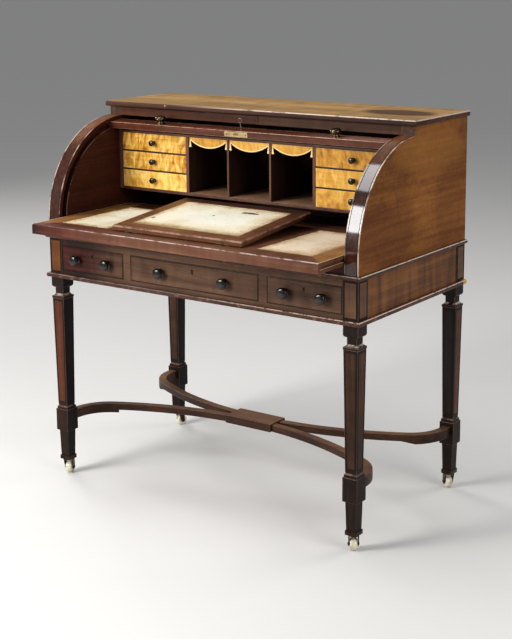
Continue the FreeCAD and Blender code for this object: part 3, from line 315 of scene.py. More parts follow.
def leather(name, low, high, tints, front_dirt, scars=()):
    """Cream leather with stained edges, specks, worn patches and a fine grain.

    tints are three tones of the ground and one for its middle; scars are (x, y, reach x, reach y).
    """
    mat = Shader(name)
    place = mat.place()
    centre, half = (low + high) / 2, (high - low) / 2
    inside = box_distance(mat, centre, half)
    cloud = mat.noise(place, 9.0, 4.0, 0.6, 0.5)
    patch = mat.noise(place, 26.0, 5.0, 0.65, 0.4)
    colour = mat.ramp(cloud, [(0.25, linear(*tints[0])), (0.5, linear(*tints[1])), (0.75, linear(*tints[2]))])
    middle = mat.step(mat.plus(inside, mat.times(cloud, 0.06)), 0.055, 0.125)
    colour = mat.tint(colour, middle, 0.65, tints[3])
    ragged = mat.plus(inside, mat.swing(patch, 0.06))
    stain = mat.step(ragged, 0.032, 0.002)
    colour = mat.tint(colour, stain, 0.6, (178, 142, 84))
    ring = mat.step(ragged, 0.010, -0.002)
    colour = mat.tint(colour, ring, 0.65, (104, 76, 42))
    rub = mat.step(patch, 0.6, 0.72)
    colour = mat.tint(colour, rub, 0.25, (196, 176, 130))
    speck = mat.noise(place, 210.0, 2.0, 0.5)
    crumb = mat.noise(place, 95.0, 3.0, 0.6)
    edge = mat.step(ragged, 0.05, 0.004)
    crumbs = mat.times(mat.step(crumb, 0.54, 0.66), edge)
    colour = mat.tint(colour, crumbs, 0.6, (120, 98, 58))
    colour = mat.tint(colour, mat.step(speck, 0.67, 0.74), 0.75, (70, 54, 40))
    x, y, _ = mat.split(place)
    reach = mat.plus(mat.minus(y, centre.y - half.y), mat.swing(crumb, 0.05))
    colour = mat.tint(colour, mat.step(reach, 0.034, 0.002), front_dirt, (138, 112, 66))
    for scar in scars:
        away = oval_distance(mat, (x, y), scar[:2], scar[2:])
        away = mat.plus(away, mat.swing(crumb, 3.0))
        colour = mat.tint(colour, mat.step(away, 1.1, 0.6), 0.92, (48, 38, 32))
    grain = mat.add("ShaderNodeTexVoronoi", {"Vector": place, "Scale": 620.0}).outputs[0]
    rough = mat.plus(0.5, mat.times(patch, 0.2))
    height = mat.plus(grain, mat.times(patch, 0.8))
    return mat.finish(Base_Color=colour, Roughness=rough, Normal=mat.bump(height, 0.3, 0.0004))


# Masks for zones and marks

PLANE_SOFT = 0.0001


def in_front_of(y):
    """1 in front of a plane across the desk."""
    return lambda mat: mat.step(mat.at(1), y + PLANE_SOFT, y - PLANE_SOFT)


def behind(y):
    """1 behind a plane across the desk."""
    return lambda mat: mat.step(mat.at(1), y - PLANE_SOFT, y + PLANE_SOFT)


def inside_end(mat):
    """1 on an end's rim, hollow and inner boards, 0 on its broad outer side."""
    return mat.step(mat.abs(mat.at(0)), HALF_WIDTH - 0.0003, HALF_WIDTH - 0.0006)


def outside_end(mat):
    """1 on an end's broad outer side."""
    return mat.minus(1.0, inside_end(mat))


def end_lining(mat):
    """1 on the inner faces of the ends' inner boards."""
    x = mat.abs(mat.at(0))
    normal = mat.abs(mat.split(mat.normal())[0])
    return mat.times(mat.step(x, LINING_X + 0.0090, LINING_X + 0.0088), mat.step(normal, 0.6, 0.8))


def between(mat, value, even, rise, fall):
    """1 past a rise and before a fall; even drops the value's sign first."""
    if even:
        value = mat.abs(value)
    return mat.times(mat.step(value, *rise), mat.step(value, *fall))


def facing(axis, low, high, even=False):
    """1 where the surface faces along an axis by a share between low and high; even takes both ways."""
    return lambda mat: between(mat, mat.split(mat.normal())[axis], even, (low - 0.05, low), (high + 0.02, high))


def band(axis, low, high, even=False, soft=0.0004):
    """1 between two planes across an axis; even takes both sides of the desk."""
    return lambda mat: between(mat, mat.at(axis), even, (low - soft, low + soft), (high + soft, high - soft))


def every(*masks):
    """Where every mask holds."""
    return lambda mat: reduce(mat.times, [mask(mat) for mask in masks])


def broken_patches(scale, low, high, strength):
    """Broken patches, of rubbing and, on some arrises, of painted highlight."""
    return lambda mat: mat.times(mat.step(mat.noise(mat.place(), scale, 4.0, 0.65, 0.3), low, high), strength)


def leg_panel(mat):
    """1 on the middle of a leg's tapered faces, inside the inlaid lines."""
    x, y, z = mat.split(mat.place())
    away_x = mat.abs(mat.minus(mat.abs(x), LEG_X))
    away_y = mat.abs(mat.minus(mat.abs(y), LEG_Y))
    rise = mat.math("DIVIDE", mat.minus(z, SHAFT_BOTTOM), SHAFT_TOP - SHAFT_BOTTOM)
    half = mat.plus(SHAFT_BOTTOM_HALF, mat.times(rise, SHAFT_TOP_HALF - SHAFT_BOTTOM_HALF))
    inside = mat.minus(mat.minus(half, mat.math("MINIMUM", away_x, away_y)), STRING_INSET + STRING_WIDTH)
    return mat.times(mat.step(inside, -0.0003, 0.0003), band(2, SHAFT_BOTTOM + 0.009, SHAFT_TOP - 0.007)(mat))


def ball(x, y, z, reach, strength):
    """A ragged spot."""
    def mask(mat):
        place = mat.place()
        away = mat.add("ShaderNodeVectorMath", {0: place, 1: (x, y, z)}, operation="DISTANCE").outputs["Value"]
        cloud = mat.swing(mat.noise(place, 60.0), reach)
        return mat.times(mat.step(mat.plus(away, cloud), reach, reach * 0.6), strength)
    return mask


def oval(x, y, reach_x, reach_y, strength, ragged=0.5, axes=(0, 1)):
    """A soft oval patch, placed along two axes."""
    def mask(mat):
        place = mat.place()
        places = [mat.split(place)[axis] for axis in axes]
        away = oval_distance(mat, places, (x, y), (reach_x, reach_y))
        away = mat.plus(away, mat.swing(mat.noise(place, 11.0, 4.0, 0.6), ragged))
        return mat.times(mat.step(away, 1.0, 0.35), strength)
    return mask


def end_oval(*numbers):
    """An oval on an end's broad side, placed by y and z."""
    return every(oval(*numbers, axes=(1, 2)), outside_end)


def scratches(axis, strength, low=0.66, high=0.74):
    """Thin pale scratches that run along an axis."""
    def mask(mat):
        parts = grain_parts(mat, mat.place(), axis)
        line = mat.noise(mat.stretched(parts, 26, 640), 1.0, 3.0, 0.7, 0.4)
        return mat.times(mat.step(line, low, high), strength)
    return mask


def slide_border(mat):
    """1 on the top of the slide's cross rails, mitred at the front corners."""
    x, y, _ = mat.split(mat.place())
    back = mat.math("MAXIMUM", mat.minus(SLIDE_MITRE[1], y), 0.0)
    reach = mat.minus(mat.abs(x), back)
    return mat.times(mat.step(reach, SLIDE_MITRE[0] - 0.0004, SLIDE_MITRE[0] + 0.0004), upward(mat))


GOLDEN = ((90, 62, 30), (158, 121, 70), (190, 152, 98))
TOP_EDGE = ((28, 14, 9), (62, 36, 25), (94, 58, 42))
END_GOLD = ((46, 22, 8), (104, 60, 23), (146, 94, 40))
RIM_BROWN = ((18, 8, 5), (46, 22, 15), (78, 42, 29))
# Rim tone near the top: partly the wood's golden tone, partly painted light
RIM_TOP_GOLD_AND_LIGHT = ((46, 23, 11), (104, 62, 33), (146, 97, 57))
MOULDING_BROWN = ((24, 12, 8), (60, 35, 25), (96, 62, 46))
DARK_BROWN = ((18, 9, 6), (46, 24, 16), (80, 44, 28))
LEG_BROWN = ((9, 5, 4), (24, 14, 10), (46, 28, 19))
LEG_PANEL = ((18, 10, 5), (53, 31, 18), (83, 52, 33))
LEG_RED = ((22, 8, 4), (66, 29, 15), (94, 48, 28))
# Painted shade for the left legs' right faces
LEG_LEFT_PAINTED_SHADE = ((5, 3, 3), (15, 10, 8), (31, 20, 14))
# Painted shade and painted light for the rear right leg's front and right faces
LEG_REAR_PAINTED_SHADE = ((8, 6, 5), (27, 20, 15), (50, 38, 29))
LEG_REAR_PAINTED_LIGHT = ((24, 12, 7), (76, 43, 27), (112, 70, 47))
GREY_BROWN = ((28, 17, 10), (78, 53, 37), (114, 84, 61))
FRIEZE_BROWN = ((26, 15, 10), (66, 44, 32), (100, 73, 54))
FRIEZE_RED = ((30, 13, 7), (74, 40, 23), (108, 66, 42))
# Painted shadow of the slide, for the left drawer and the front frame below it
SHADED_RED = ((12, 3, 2), (46, 14, 9), (94, 38, 23))
SHADED_FRAME = ((8, 4, 3), (28, 13, 9), (56, 29, 20))
BASE_SIDE = ((32, 15, 6), (84, 48, 21), (124, 78, 36))
LINING_RED = ((22, 8, 5), (52, 22, 15), (78, 36, 25))
SATINWOOD = ((142, 86, 24), (206, 150, 56), (240, 198, 108))
DRAWER_LINING = ((84, 54, 32), (132, 94, 60), (164, 124, 84))
# Painted shade for the nest's inside walls
SHADE = ((15, 8, 6), (38, 21, 15), (62, 38, 28))
NEST_EDGE = ((34, 17, 11), (80, 47, 34), (116, 77, 58))
# Painted light for the pigeonhole floors
NEST_FLOOR_PAINTED_LIGHT = ((80, 55, 39), (136, 100, 74), (168, 130, 100))
LID_BROWN = ((26, 10, 6), (62, 30, 19), (96, 54, 38))
RAIL_BROWN = ((32, 12, 7), (78, 39, 25), (114, 66, 47))
# Painted highlight for the lid rail's right end
RAIL_PAINTED_HIGHLIGHT = ((62, 36, 28), (136, 97, 83), (176, 136, 120))
SLIDE_BROWN = ((40, 20, 12), (96, 60, 42), (134, 94, 70))
SLIDE_LEFT = ((26, 9, 6), (74, 34, 24), (112, 62, 45))
SLIDE_CORNER = ((8, 2, 1), (44, 14, 9), (98, 44, 30))
SLIDE_SIDE = ((64, 36, 16), (128, 85, 44), (166, 121, 72))
SLOPE_BROWN = ((36, 18, 10), (86, 51, 32), (122, 80, 52))
# Painted shadow of the nest, for the slope's rear rail
SLOPE_SHADE = ((16, 8, 5), (50, 27, 18), (84, 50, 34))
STRETCHER_BROWN = ((16, 9, 6), (44, 26, 17), (76, 48, 33))
# Painted light for the stretchers' upward faces
STRETCHER_TOP_PAINTED_LIGHT = ((40, 25, 15), (92, 62, 40), (132, 96, 66))
HOLLY = ((206, 172, 104), (238, 212, 150), (250, 232, 182))
STILE_BROWN = ((32, 19, 12), (78, 52, 34), (110, 78, 53))
STILE_GOLD = ((34, 16, 5), (86, 46, 15), (118, 70, 27))
WORN = ((70, 36, 24), (128, 78, 56), (170, 120, 92))
WORN_DARK = ((18, 9, 6), (46, 26, 18), (78, 48, 34))
WORN_SATIN = ((120, 76, 26), (178, 130, 56), (206, 164, 86))
OAK = ((120, 84, 50), (158, 118, 76), (186, 146, 100))
PALE_WEAR, DARK_WEAR = (206, 172, 144), (112, 80, 62)

# ANY lies beyond every share of a normal, so that side of a range is open
ANY = 1.2
to_front = facing(1, -ANY, -0.6)
to_right = facing(0, 0.6, ANY)
upward = facing(2, 0.6, ANY)
partly_up = facing(2, 0.3, ANY)
front_arris = every(facing(1, -ANY, -0.2), facing(2, 0.5, 0.9))
front_half = band(1, -0.4, 0.1)
rim_faces = every(facing(0, -0.1, 0.9, True), front_half)
below_frieze = band(2, 0.60, FRIEZE_BOTTOM - 0.005)
rear_right = every(band(0, 0.4, 0.52), band(1, 0.2, 0.3))
drawer_inside = (behind(DRAWER_FRONT_BACK), DRAWER_LINING)
mats = {
    "top": wood(
        "top_mahogany", GOLDEN, "x", 1.0, 0.32, (14, 6), contrast=1.15, rough=0.55, coat=0.0,
        zones=[(facing(2, -ANY, 0.93), TOP_EDGE)],
        marks=[
            (oval(0.372, 0.126, 0.122, 0.072, 0.9), (60, 30, 10)),
            (oval(-0.1, 0.05, 0.22, 0.06, 0.28), (84, 56, 28)),
            (every(oval(-0.40, 0.03, 0.16, 0.09, 0.4, 1.0), facing(2, 0.97, ANY)), (104, 72, 36)),
            (every(facing(2, 0.45, 0.93), band(0, -0.10, 0.6, soft=0.2), broken_patches(30, 0.27, 0.5, 0.85)),
             (206, 186, 172)),
            (ball(-0.284, -0.018, 1.03, 0.0026, 0.9), (176, 154, 132))]),
    "end": wood(
        "end_mahogany", END_GOLD, "y", 2.0, 0.22, (70, 60), contrast=1.3, rough=0.5, coat=0.0, spec=0.08,
        zones=[
            (inside_end, RIM_BROWN),
            # Lighter towards the top of the rim: partly the wood's golden tone, partly painted light
            (every(inside_end, front_half, band(2, 0.955, 1.1, soft=0.06)), RIM_TOP_GOLD_AND_LIGHT),
            (end_lining, LINING_RED),
            (every(band(2, FRIEZE_BOTTOM, 1.03), front_half, inside_end), FRIEZE_BROWN)],
        marks=[
            (end_oval(-0.13, 0.77, 0.17, 0.10, 0.55, 1.4), (72, 31, 12)),
            (end_oval(0.19, 0.80, 0.10, 0.13, 0.35, 1.4), (78, 36, 14)),
            (end_oval(0.08, 0.95, 0.22, 0.07, 0.3, 1.2), (150, 102, 44)),
            (every(end_lining, band(2, 0.8010, 0.8022), broken_patches(9, 0.3, 0.5, 0.8)), (16, 6, 4)),
            (every(end_lining, band(2, 0.8760, 0.8772), broken_patches(9, 0.3, 0.5, 0.8)), (16, 6, 4)),
            (every(band(0, 0.4888, 0.4925, True), rim_faces, below_frieze, broken_patches(24, 0.33, 0.60, 0.8)),
             (206, 178, 158)),
            (every(band(0, 0.4515, 0.4555, True), rim_faces, below_frieze, broken_patches(24, 0.36, 0.62, 0.7)),
             (186, 154, 132))],
        gloss=(every(rim_faces, band(0, 0.2, 0.6), band(2, 0.6, FRIEZE_BOTTOM + 0.0005),
                     band(2, 0.6, 0.99, soft=0.03)), 0.12, 0.95)),
    "moulding": wood(
        "moulding_mahogany", MOULDING_BROWN, "x", 3.0, 0.2,
        marks=[
            (every(facing(0, 0.2, ANY), facing(2, 0.5, 0.92), broken_patches(46, 0.30, 0.48, 0.8)), (214, 192, 174)),
            (every(front_arris, band(0, 0.02, 0.6, soft=0.16), broken_patches(52, 0.38, 0.55, 0.75)), (208, 184, 166)),
            # Grey line along the left half of the front arris: a painted highlight
            (every(front_arris, band(0, -0.6, 0.0, soft=0.1), broken_patches(30, 0.30, 0.55, 0.5)), (150, 138, 134)),
            (ball(0.496, 0.264, 0.579, 0.014, 0.9), (196, 150, 88)),
            (every(facing(2, -0.6, 0.15), broken_patches(60, 0.54, 0.64, 0.4)), (140, 98, 78))]),
    "frieze": wood(
        "frieze_mahogany", FRIEZE_BROWN, "x", 4.0, 0.2, contrast=1.2, rough=0.5, coat=0.0, spec=0.07,
        zones=[(band(0, -0.8, -0.05, soft=0.2), FRIEZE_RED)],
        marks=[(band(0, FRIEZE_JOINT_X - 0.0016, FRIEZE_JOINT_X + 0.0016), (18, 10, 7))]),
    "frame": wood(
        "frame_mahogany", GREY_BROWN, "x", 4.4, 0.2, contrast=1.2,
        # Painted shadow of the slide on the frame's left part
        zones=[(band(0, -0.8, -0.29, soft=0.10), SHADED_FRAME)]),
    "rail": wood(
        "lid_rail_mahogany", RAIL_BROWN, "x", 5.0, 0.2, rough=0.26, coat=0.16,
        # Painted highlight: the upward faces of the rail's right end are painted paler, as a reflection
        zones=[(every(band(0, 0.30, 0.6, soft=0.2), facing(2, 0.4, ANY)), RAIL_PAINTED_HIGHLIGHT)]),
    "panel": wood("lid_panel_mahogany", LID_BROWN, "x", 5.5, 0.35, rough=0.3, coat=0.3),
    "drawer": wood("drawer_mahogany", GREY_BROWN, "x", 6.0, 0.25, contrast=1.25, zones=[drawer_inside]),
    "drawer_left": wood(
        "drawer_left_mahogany", GREY_BROWN, "x", 6.7, 0.25, contrast=1.25,
        # Painted shadow of the slide across the left drawer's front
        zones=[(band(0, -0.8, -0.30, soft=0.07), SHADED_RED), drawer_inside]),
    "side": wood("side_mahogany", BASE_SIDE, "y", 7.0, 0.5, (24, 3), contrast=1.4, coat=0.02, spec=0.14),
    "leg": wood(
        "leg_mahogany", LEG_BROWN, "z", 8.0, 0.2, contrast=1.5, coat=0.02, spec=0.1,
        zones=[
            (leg_panel, LEG_PANEL),
            (every(leg_panel, band(0, -0.5, -0.4), band(1, -0.3, 0.0), to_front), LEG_RED),
            # Painted shade on the left legs' right faces
            (every(band(0, -0.52, -0.4), to_right), LEG_LEFT_PAINTED_SHADE),
            # Rear right leg: painted shade on its front face, painted light on its right face
            (every(rear_right, leg_panel, to_front), LEG_REAR_PAINTED_SHADE),
            (every(rear_right, leg_panel, to_right), LEG_REAR_PAINTED_LIGHT)],
        marks=[
            (every(band(2, 0.508, 0.536), facing(2, 0.3, 0.9), broken_patches(52, 0.38, 0.56, 0.6)), (198, 176, 158)),
            (every(band(2, 0.186, 0.207), facing(2, 0.15, ANY), broken_patches(40, 0.44, 0.62, 0.5)), (140, 110, 92))]),
    "stretcher": wood(
        "stretcher_mahogany", STRETCHER_BROWN, "x", 9.0, 0.15, contrast=1.3,
        # Painted light on the stretchers' upward faces
        zones=[(facing(2, 0.7, ANY), STRETCHER_TOP_PAINTED_LIGHT)]),
    "slide": wood(
        "slide_mahogany", SLIDE_BROWN, "x", 10.0, 0.2, contrast=1.15,
        zones=[
            (band(0, -0.8, -0.25, soft=0.12), SLIDE_LEFT),
            (every(band(0, -0.8, -0.40, soft=0.05), to_front), SLIDE_CORNER),
            (slide_border, SLIDE_SIDE)],
        marks=[
            (scratches("x", 0.2), (150, 120, 104)),
            (every(band(1, -0.3795, -0.356, soft=0.004), upward, scratches("x", 0.5, 0.60, 0.70)), (170, 154, 152)),
            (every(band(1, -0.39, -0.3770), partly_up, band(0, -0.30, 0.6, soft=0.1), broken_patches(40, 0.38, 0.58, 0.7)),
             (190, 172, 166)),
            # Pale cream line along the slide's left outer arris: a painted highlight
            (every(band(0, -0.46, -0.4474), partly_up), (210, 190, 160)),
            (every(band(0, 0.4484, 0.46), partly_up), (200, 166, 118))]),
    "slope": wood(
        "slope_mahogany", SLOPE_BROWN, "x", 11.0, 0.25, contrast=1.2,
        # Painted shadow of the nest on the slope's rear rail
        zones=[(band(1, -0.064, 0.1, soft=0.01), SLOPE_SHADE)],
        marks=[
            # Pale pinkish broken line on the rounded arrises: partly wear, partly a painted highlight
            (every(facing(2, 0.1, 0.93), broken_patches(34, 0.38, 0.6, 0.5)), (176, 138, 120)),
            # Painted shadow: a dark line along the bottom of the front edge
            (every(facing(1, -ANY, -0.5), band(2, 0.70, 0.7425, soft=0.001)), (26, 15, 10))]),
    # The walls are painted dark as shade inside the pigeonholes and the floors painted lighter as light on them; the
    # front edges keep a plain wood tone
    "nest": wood(
        "nest_mahogany", SHADE, "z", 12.0, 0.15, rough=0.5, coat=0.0, spec=0.18,
        zones=[(in_front_of(NEST_FRONT + 0.0008), NEST_EDGE), (facing(2, 0.8, ANY), NEST_FLOOR_PAINTED_LIGHT)]),
    "inner": wood("inner_mahogany", LINING_RED, "x", 13.0, 0.15, rough=0.5, coat=0.0, spec=0.15),
    "back": wood("back_mahogany", DARK_BROWN, "x", 14.0, 0.25, rough=0.5, coat=0.05),
    "valance": wood("valance_satinwood", SATINWOOD, "x", 16.0, 0.7, (60, 14), 0.2, pores=0.1),
    "holly": wood("pale_edging", HOLLY, "x", 17.0, 0.1, pores=0.05),
    "stile_panel": wood("stile_panel", STILE_BROWN, "z", 18.0, 0.3),
    "stile_gold": wood("stile_gold_panel", STILE_GOLD, "z", 18.6, 0.3),
    "worn": wood("worn_arris", WORN, "x", 19.0, 0.1, rough=0.3, coat=0.3, wear=PALE_WEAR, wear_share=0.8),
    "worn_dark": wood("worn_dark_arris", WORN_DARK, "z", 20.0, 0.1, rough=0.3, coat=0.2, wear=DARK_WEAR,
                      wear_share=0.45),
    "worn_satin": wood("worn_satin_arris", WORN_SATIN, "x", 22.0, 0.1, pores=0.1),
    "lining_end": wood("dovetail_oak", OAK, "y", 23.0, 0.1),
    "ebony": ebony("ebonised_wood"),
    "string": blackwood("black_stringing"),
    "brass": metal("aged_brass", (150, 118, 66), (52, 38, 22), 0.26),
    "bronze": metal("brown_bronze", (104, 84, 60), (34, 26, 19), 0.13, 4.0),
    "key_metal": metal("dull_key", (132, 102, 86), (62, 44, 34), 0.3, 6.0),
    "plate": metal("lock_plate", (188, 172, 126), (120, 102, 66), 0.34, 8.0),
    "dark_brass": metal("dark_brass", (58, 46, 33), (18, 14, 11), 0.26, 5.0),
    "iron": metal("black_iron", (58, 56, 54), (30, 27, 25), 0.5, 7.0),
    "ceramic": ceramic("glazed_white"),
}
for index, row in enumerate(ROWS):
    for side, name in ((-1, "left"), (1, "right")):
        satinwood = "satinwood_" + name + "_" + row
        mats[satinwood] = wood(
            satinwood, SATINWOOD, "x", 15.0 + 2.3 * index + side * 0.9, 0.95 - 0.15 * side, (58, 22),
            0.16 * side * (index - 0.6), 1.15 - 0.15 * side, rough=0.36, coat=0.2, pores=0.1,
            zones=[(behind(NEST_FRONT + SMALL_FRONT), DRAWER_LINING)],
            marks=[(in_front_of(NEST_FRONT - 0.0002), (14, 10, 8))])


# Frame nodes

WELD_REACH = 0.00002
ARRIS_ANGLE = math.radians(50)


def dress(node, base):
    """Give a node its material."""
    piece = nodes[node]
    piece.data.materials.clear()
    piece.data.materials.append(mats[base])
    return piece


def soften(node, base, width, edge="worn_dark"):
    """Give a node its material, and softened arrises with their own worn material."""
    piece = dress(node, base)
    piece.data.materials.append(mats[edge])
    weld = piece.modifiers.new("weld", "WELD")
    weld.merge_threshold = WELD_REACH
    bevel = piece.modifiers.new("soften", "BEVEL")
    bevel.limit_method = "ANGLE"
    bevel.angle_limit = ARRIS_ANGLE
    bevel.width = width
    bevel.segments = 2
    bevel.material = 1
    bevel.use_clamp_overlap = False
    piece.modifiers.new("normals", "WEIGHTED_NORMAL")


PLAIN = {
    "top_board": "top", "end_left": "end", "end_right": "end",
    "lower_moulding": "moulding", "waist_moulding": "moulding",
    "cylinder_levers": "iron", "cylinder_lock": "plate", "cylinder_key": "key_metal", "cylinder_knobs": "bronze",
    "lock_bolt": "brass", "slope_prop": "brass",
    "caster_sockets": "dark_brass", "slide_fittings": "dark_brass", "slope_fittings": "dark_brass",
    "slide_leathers": "holly", "slope_leather": "holly",
}
SOFTENED = {
    "top_frieze": ("frieze", 0.0006),
    "case_back": ("back", 0.0008),
    "bed_board": ("inner", 0.0008),
    "nest_carcase": ("nest", 0.0006),
    "nest_dividers": ("nest", 0.0005),
    "pigeonhole_valances": ("valance", 0.0004, "worn_satin"),
    "slide_runners": ("inner", 0.0004),
    "cylinder_panel": ("panel", 0.0006, "worn"),
    "cylinder_rail": ("rail", 0.0008, "worn"),
    "slide_board": ("slide", 0.0008, "slide"),
    "slope_board": ("slope", 0.0006, "slope"),
    "front_frame": ("frame", 0.0005, "frame"),
    "side_aprons": ("side", 0.0005, "side"),
    "back_apron": ("back", 0.0006),
    "drawer_runners": ("inner", 0.0008),
    "stretcher_rails": ("stretcher", 0.0012),
    "stretcher_block": ("stretcher", 0.0008),
    "drawer_left": ("drawer_left", 0.0005, "drawer_left"),
    "drawer_centre": ("drawer", 0.0005, "drawer"),
    "drawer_right": ("drawer", 0.0005, "drawer"),
}
for corner in CORNERS:
    SOFTENED["leg_" + corner] = ("leg", 0.0009)
    PLAIN["caster_fork_" + corner] = "dark_brass"
    PLAIN["caster_wheel_" + corner] = "ceramic"
for name in DRAWERS:
    PLAIN["drawer_knobs_" + name] = "ebony"
    PLAIN["drawer_lock_" + name] = "dark_brass"
for name in SMALL_DRAWERS:
    PLAIN["small_drawer_" + name] = "satinwood_" + name
for node, base in PLAIN.items():
    dress(node, base)
for node, finish in SOFTENED.items():
    soften(node, *finish)


# Mesh pieces

# Degrees between faces that still shade as one surface
ROUND, COCKLED = 40, 50


def new_object(name, data):
    made = bpy.data.objects.new(name, data)
    bpy.context.scene.collection.objects.link(made)
    return made


def piece_from(name, heap, material, body, smooth_angle=None):
    """Make a heap one piece, and hang it on its body."""
    mesh = bpy.data.meshes.new(name)
    mesh.from_pydata([tuple(point) for point in heap.points], [], heap.faces)
    mesh.validate()
    piece = new_object(name, mesh)
    mesh.materials.append(mats[material])
    if smooth_angle:
        mesh.polygons.foreach_set("use_smooth", [True] * len(mesh.polygons))
        mesh.set_sharp_from_angle(angle=math.radians(smooth_angle))
    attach(piece, body)
    return piece


class Heap:
    """Points and faces of several solids gathered into one piece."""

    def __init__(self):
        self.points, self.faces = [], []

    def add(self, points, faces):
        start = len(self.points)
        self.points += [Vector(point) for point in points]
        self.faces += [tuple(start + index for index in face) for face in faces]

    def loop_strip(self, rings, closed=False):
        """Join rings of equal length into a tube, closed on itself or capped."""
        count = len(rings[0])
        points = [point for ring in rings for point in ring]
        faces = []
        steps = len(rings) if closed else len(rings) - 1
        for i in range(steps):
            j = (i + 1) % len(rings)
            for k in range(count):
                m = (k + 1) % count
                faces.append((i * count + k, i * count + m, j * count + m, j * count + k))
        if not closed:
            faces.append(tuple(range(count - 1, -1, -1)))
            faces.append(tuple(range((len(rings) - 1) * count, len(rings) * count)))
        self.add(points, faces)


def inset_corners(corners, inset):
    """Move a flat polygon's corners in by an even inset."""
    count = len(corners)
    moved = []
    for i, corner in enumerate(corners):
        back = (corners[i - 1] - corner).normalized()
        ahead = (corners[(i + 1) % count] - corner).normalized()
        sine = back.cross(ahead).length
        moved.append(corner + (back + ahead) * (inset / sine))
    return moved


def string_frame(heap, corners, normal, inset, width=STRING_WIDTH):
    """A line of inlay let into a flat face, parallel to its edges."""
    corners = [Vector(corner) for corner in corners]
    normal = Vector(normal).normalized()
    outer = inset_corners(corners, inset)
    inner = inset_corners(corners, inset + width)
    rings = []
    for out, into in zip(outer, inner):
        rings.append([out - normal * STRING_DEPTH, out + normal * STRING_PROUD,
                      into + normal * STRING_PROUD, into - normal * STRING_DEPTH])
    heap.loop_strip(rings, True)


def panel_slab(heap, corners, normal, inset):
    """A thin panel let into a flat face."""
    corners = inset_corners([Vector(corner) for corner in corners], inset)
    normal = Vector(normal).normalized()
    points = [c - normal * STRING_DEPTH for c in corners] + [c + normal * (STRING_PROUD / 2) for c in corners]
    count = len(corners)
    faces = [tuple(range(count)), tuple(range(2 * count - 1, count - 1, -1))]
    faces += [(i, (i + 1) % count, count + (i + 1) % count, count + i) for i in range(count)]
    heap.add(points, faces)


def shaft_faces(side, end):
    """The four faces of a leg's tapered shaft, as corners and a normal."""
    x, y = side * LEG_X, end * LEG_Y
    low, high = SHAFT_BOTTOM + 0.004, SHAFT_TOP - 0.002
    low_half, high_half = SHAFT_BOTTOM_HALF, SHAFT_TOP_HALF
    for turn in range(4):
        spin = Matrix.Rotation(turn * math.pi / 2, 4, "Z")
        flat = [(-low_half, -low_half, low), (low_half, -low_half, low),
                (high_half, -high_half, high), (-high_half, -high_half, high)]
        corners = [spin @ Vector(corner) + Vector((x, y, 0)) for corner in flat]
        lean = (high_half - low_half) / (high - low)
        yield corners, spin @ Vector((0, -1, -lean))


def stile_faces(side, end):
    """The faces of a stile that show: its outer side, and its front on the front legs."""
    x, y = side * LEG_X, end * LEG_Y
    low, high = BASE_BOTTOM + 0.012, BASE_TOP
    face_x = x + side * STILE_HALF
    outer = [(face_x, y - side * STILE_HALF, low), (face_x, y + side * STILE_HALF, low),
             (face_x, y + side * STILE_HALF, high), (face_x, y - side * STILE_HALF, high)]
    yield outer, (side, 0, 0)
    if end < 0:
        face_y = y - STILE_HALF
        yield [(x - STILE_HALF, face_y, low), (x + STILE_HALF, face_y, low),
               (x + STILE_HALF, face_y, high), (x - STILE_HALF, face_y, high)], (0, -1, 0)


strings, panels, gold_panels = Heap(), Heap(), Heap()
for side, end in CORNERS.values():
    for corners, normal in shaft_faces(side, end):
        string_frame(strings, corners, normal, STRING_INSET)
    for corners, normal in stile_faces(side, end):
        string_frame(strings, corners, normal, PANEL_INSET)
        gold = side < 0 and normal[1] < 0
        panel_slab(gold_panels if gold else panels, corners, normal, PANEL_INSET + STRING_WIDTH)
piece_from("leg_strings", strings, "string", "case")
piece_from("stile_panels", panels, "stile_panel", "case")
piece_from("stile_panel_left", gold_panels, "stile_gold", "case")


def end_path():
    """The front line of an end, from its toe over the arc to the frieze, with outward directions."""
    path = [((FRONT_Y, CASE_BOTTOM + 0.001), (-1, 0)), ((FRONT_Y, LID_AXIS_Z), (-1, 0))]
    steps = 40
    for i in range(1, steps + 1):
        turn = math.pi / 2 * i / steps
        out = (-math.cos(turn), math.sin(turn))
        path.append(((LID_AXIS_Y + END_RADIUS * out[0], LID_AXIS_Z + END_RADIUS * out[1]), out))
    return path


strings = Heap()
for side in SIDES:
    for rim_x, width in RIM_STRINGS:
        rings = []
        for (y, z), (out_y, out_z) in end_path():
            ring = []
            for x, lift in ((-1, -STRING_DEPTH), (-1, STRING_PROUD), (1, STRING_PROUD), (1, -STRING_DEPTH)):
                ring.append((side * rim_x + x * width / 2, y + out_y * lift, z + out_z * lift))
            rings.append(ring)
        strings.loop_strip(rings)
piece_from("end_strings", strings, "string", "case", ROUND)

for name in DRAWERS:
    low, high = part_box("drawer_" + name)
    front = [(low.x, low.y, low.z), (high.x, low.y, low.z), (high.x, low.y, high.z), (low.x, low.y, high.z)]
    strings = Heap()
    string_frame(strings, front, (0, -1, 0), DRAWER_STRING_INSET, DRAWER_STRING)
    piece_from("drawer_strings_" + name, strings, "string", "frieze_drawer_" + name)


# Leathers

TOOLED_LINE, GROOVE, RIM, CELLS = 0.0085, 0.0007, 0.0012, 22
LAID_DROP, COCKLE, RIM_DROP, TOOLED_DROP = 0.00018, 0.00008, 0.0004, 0.0003


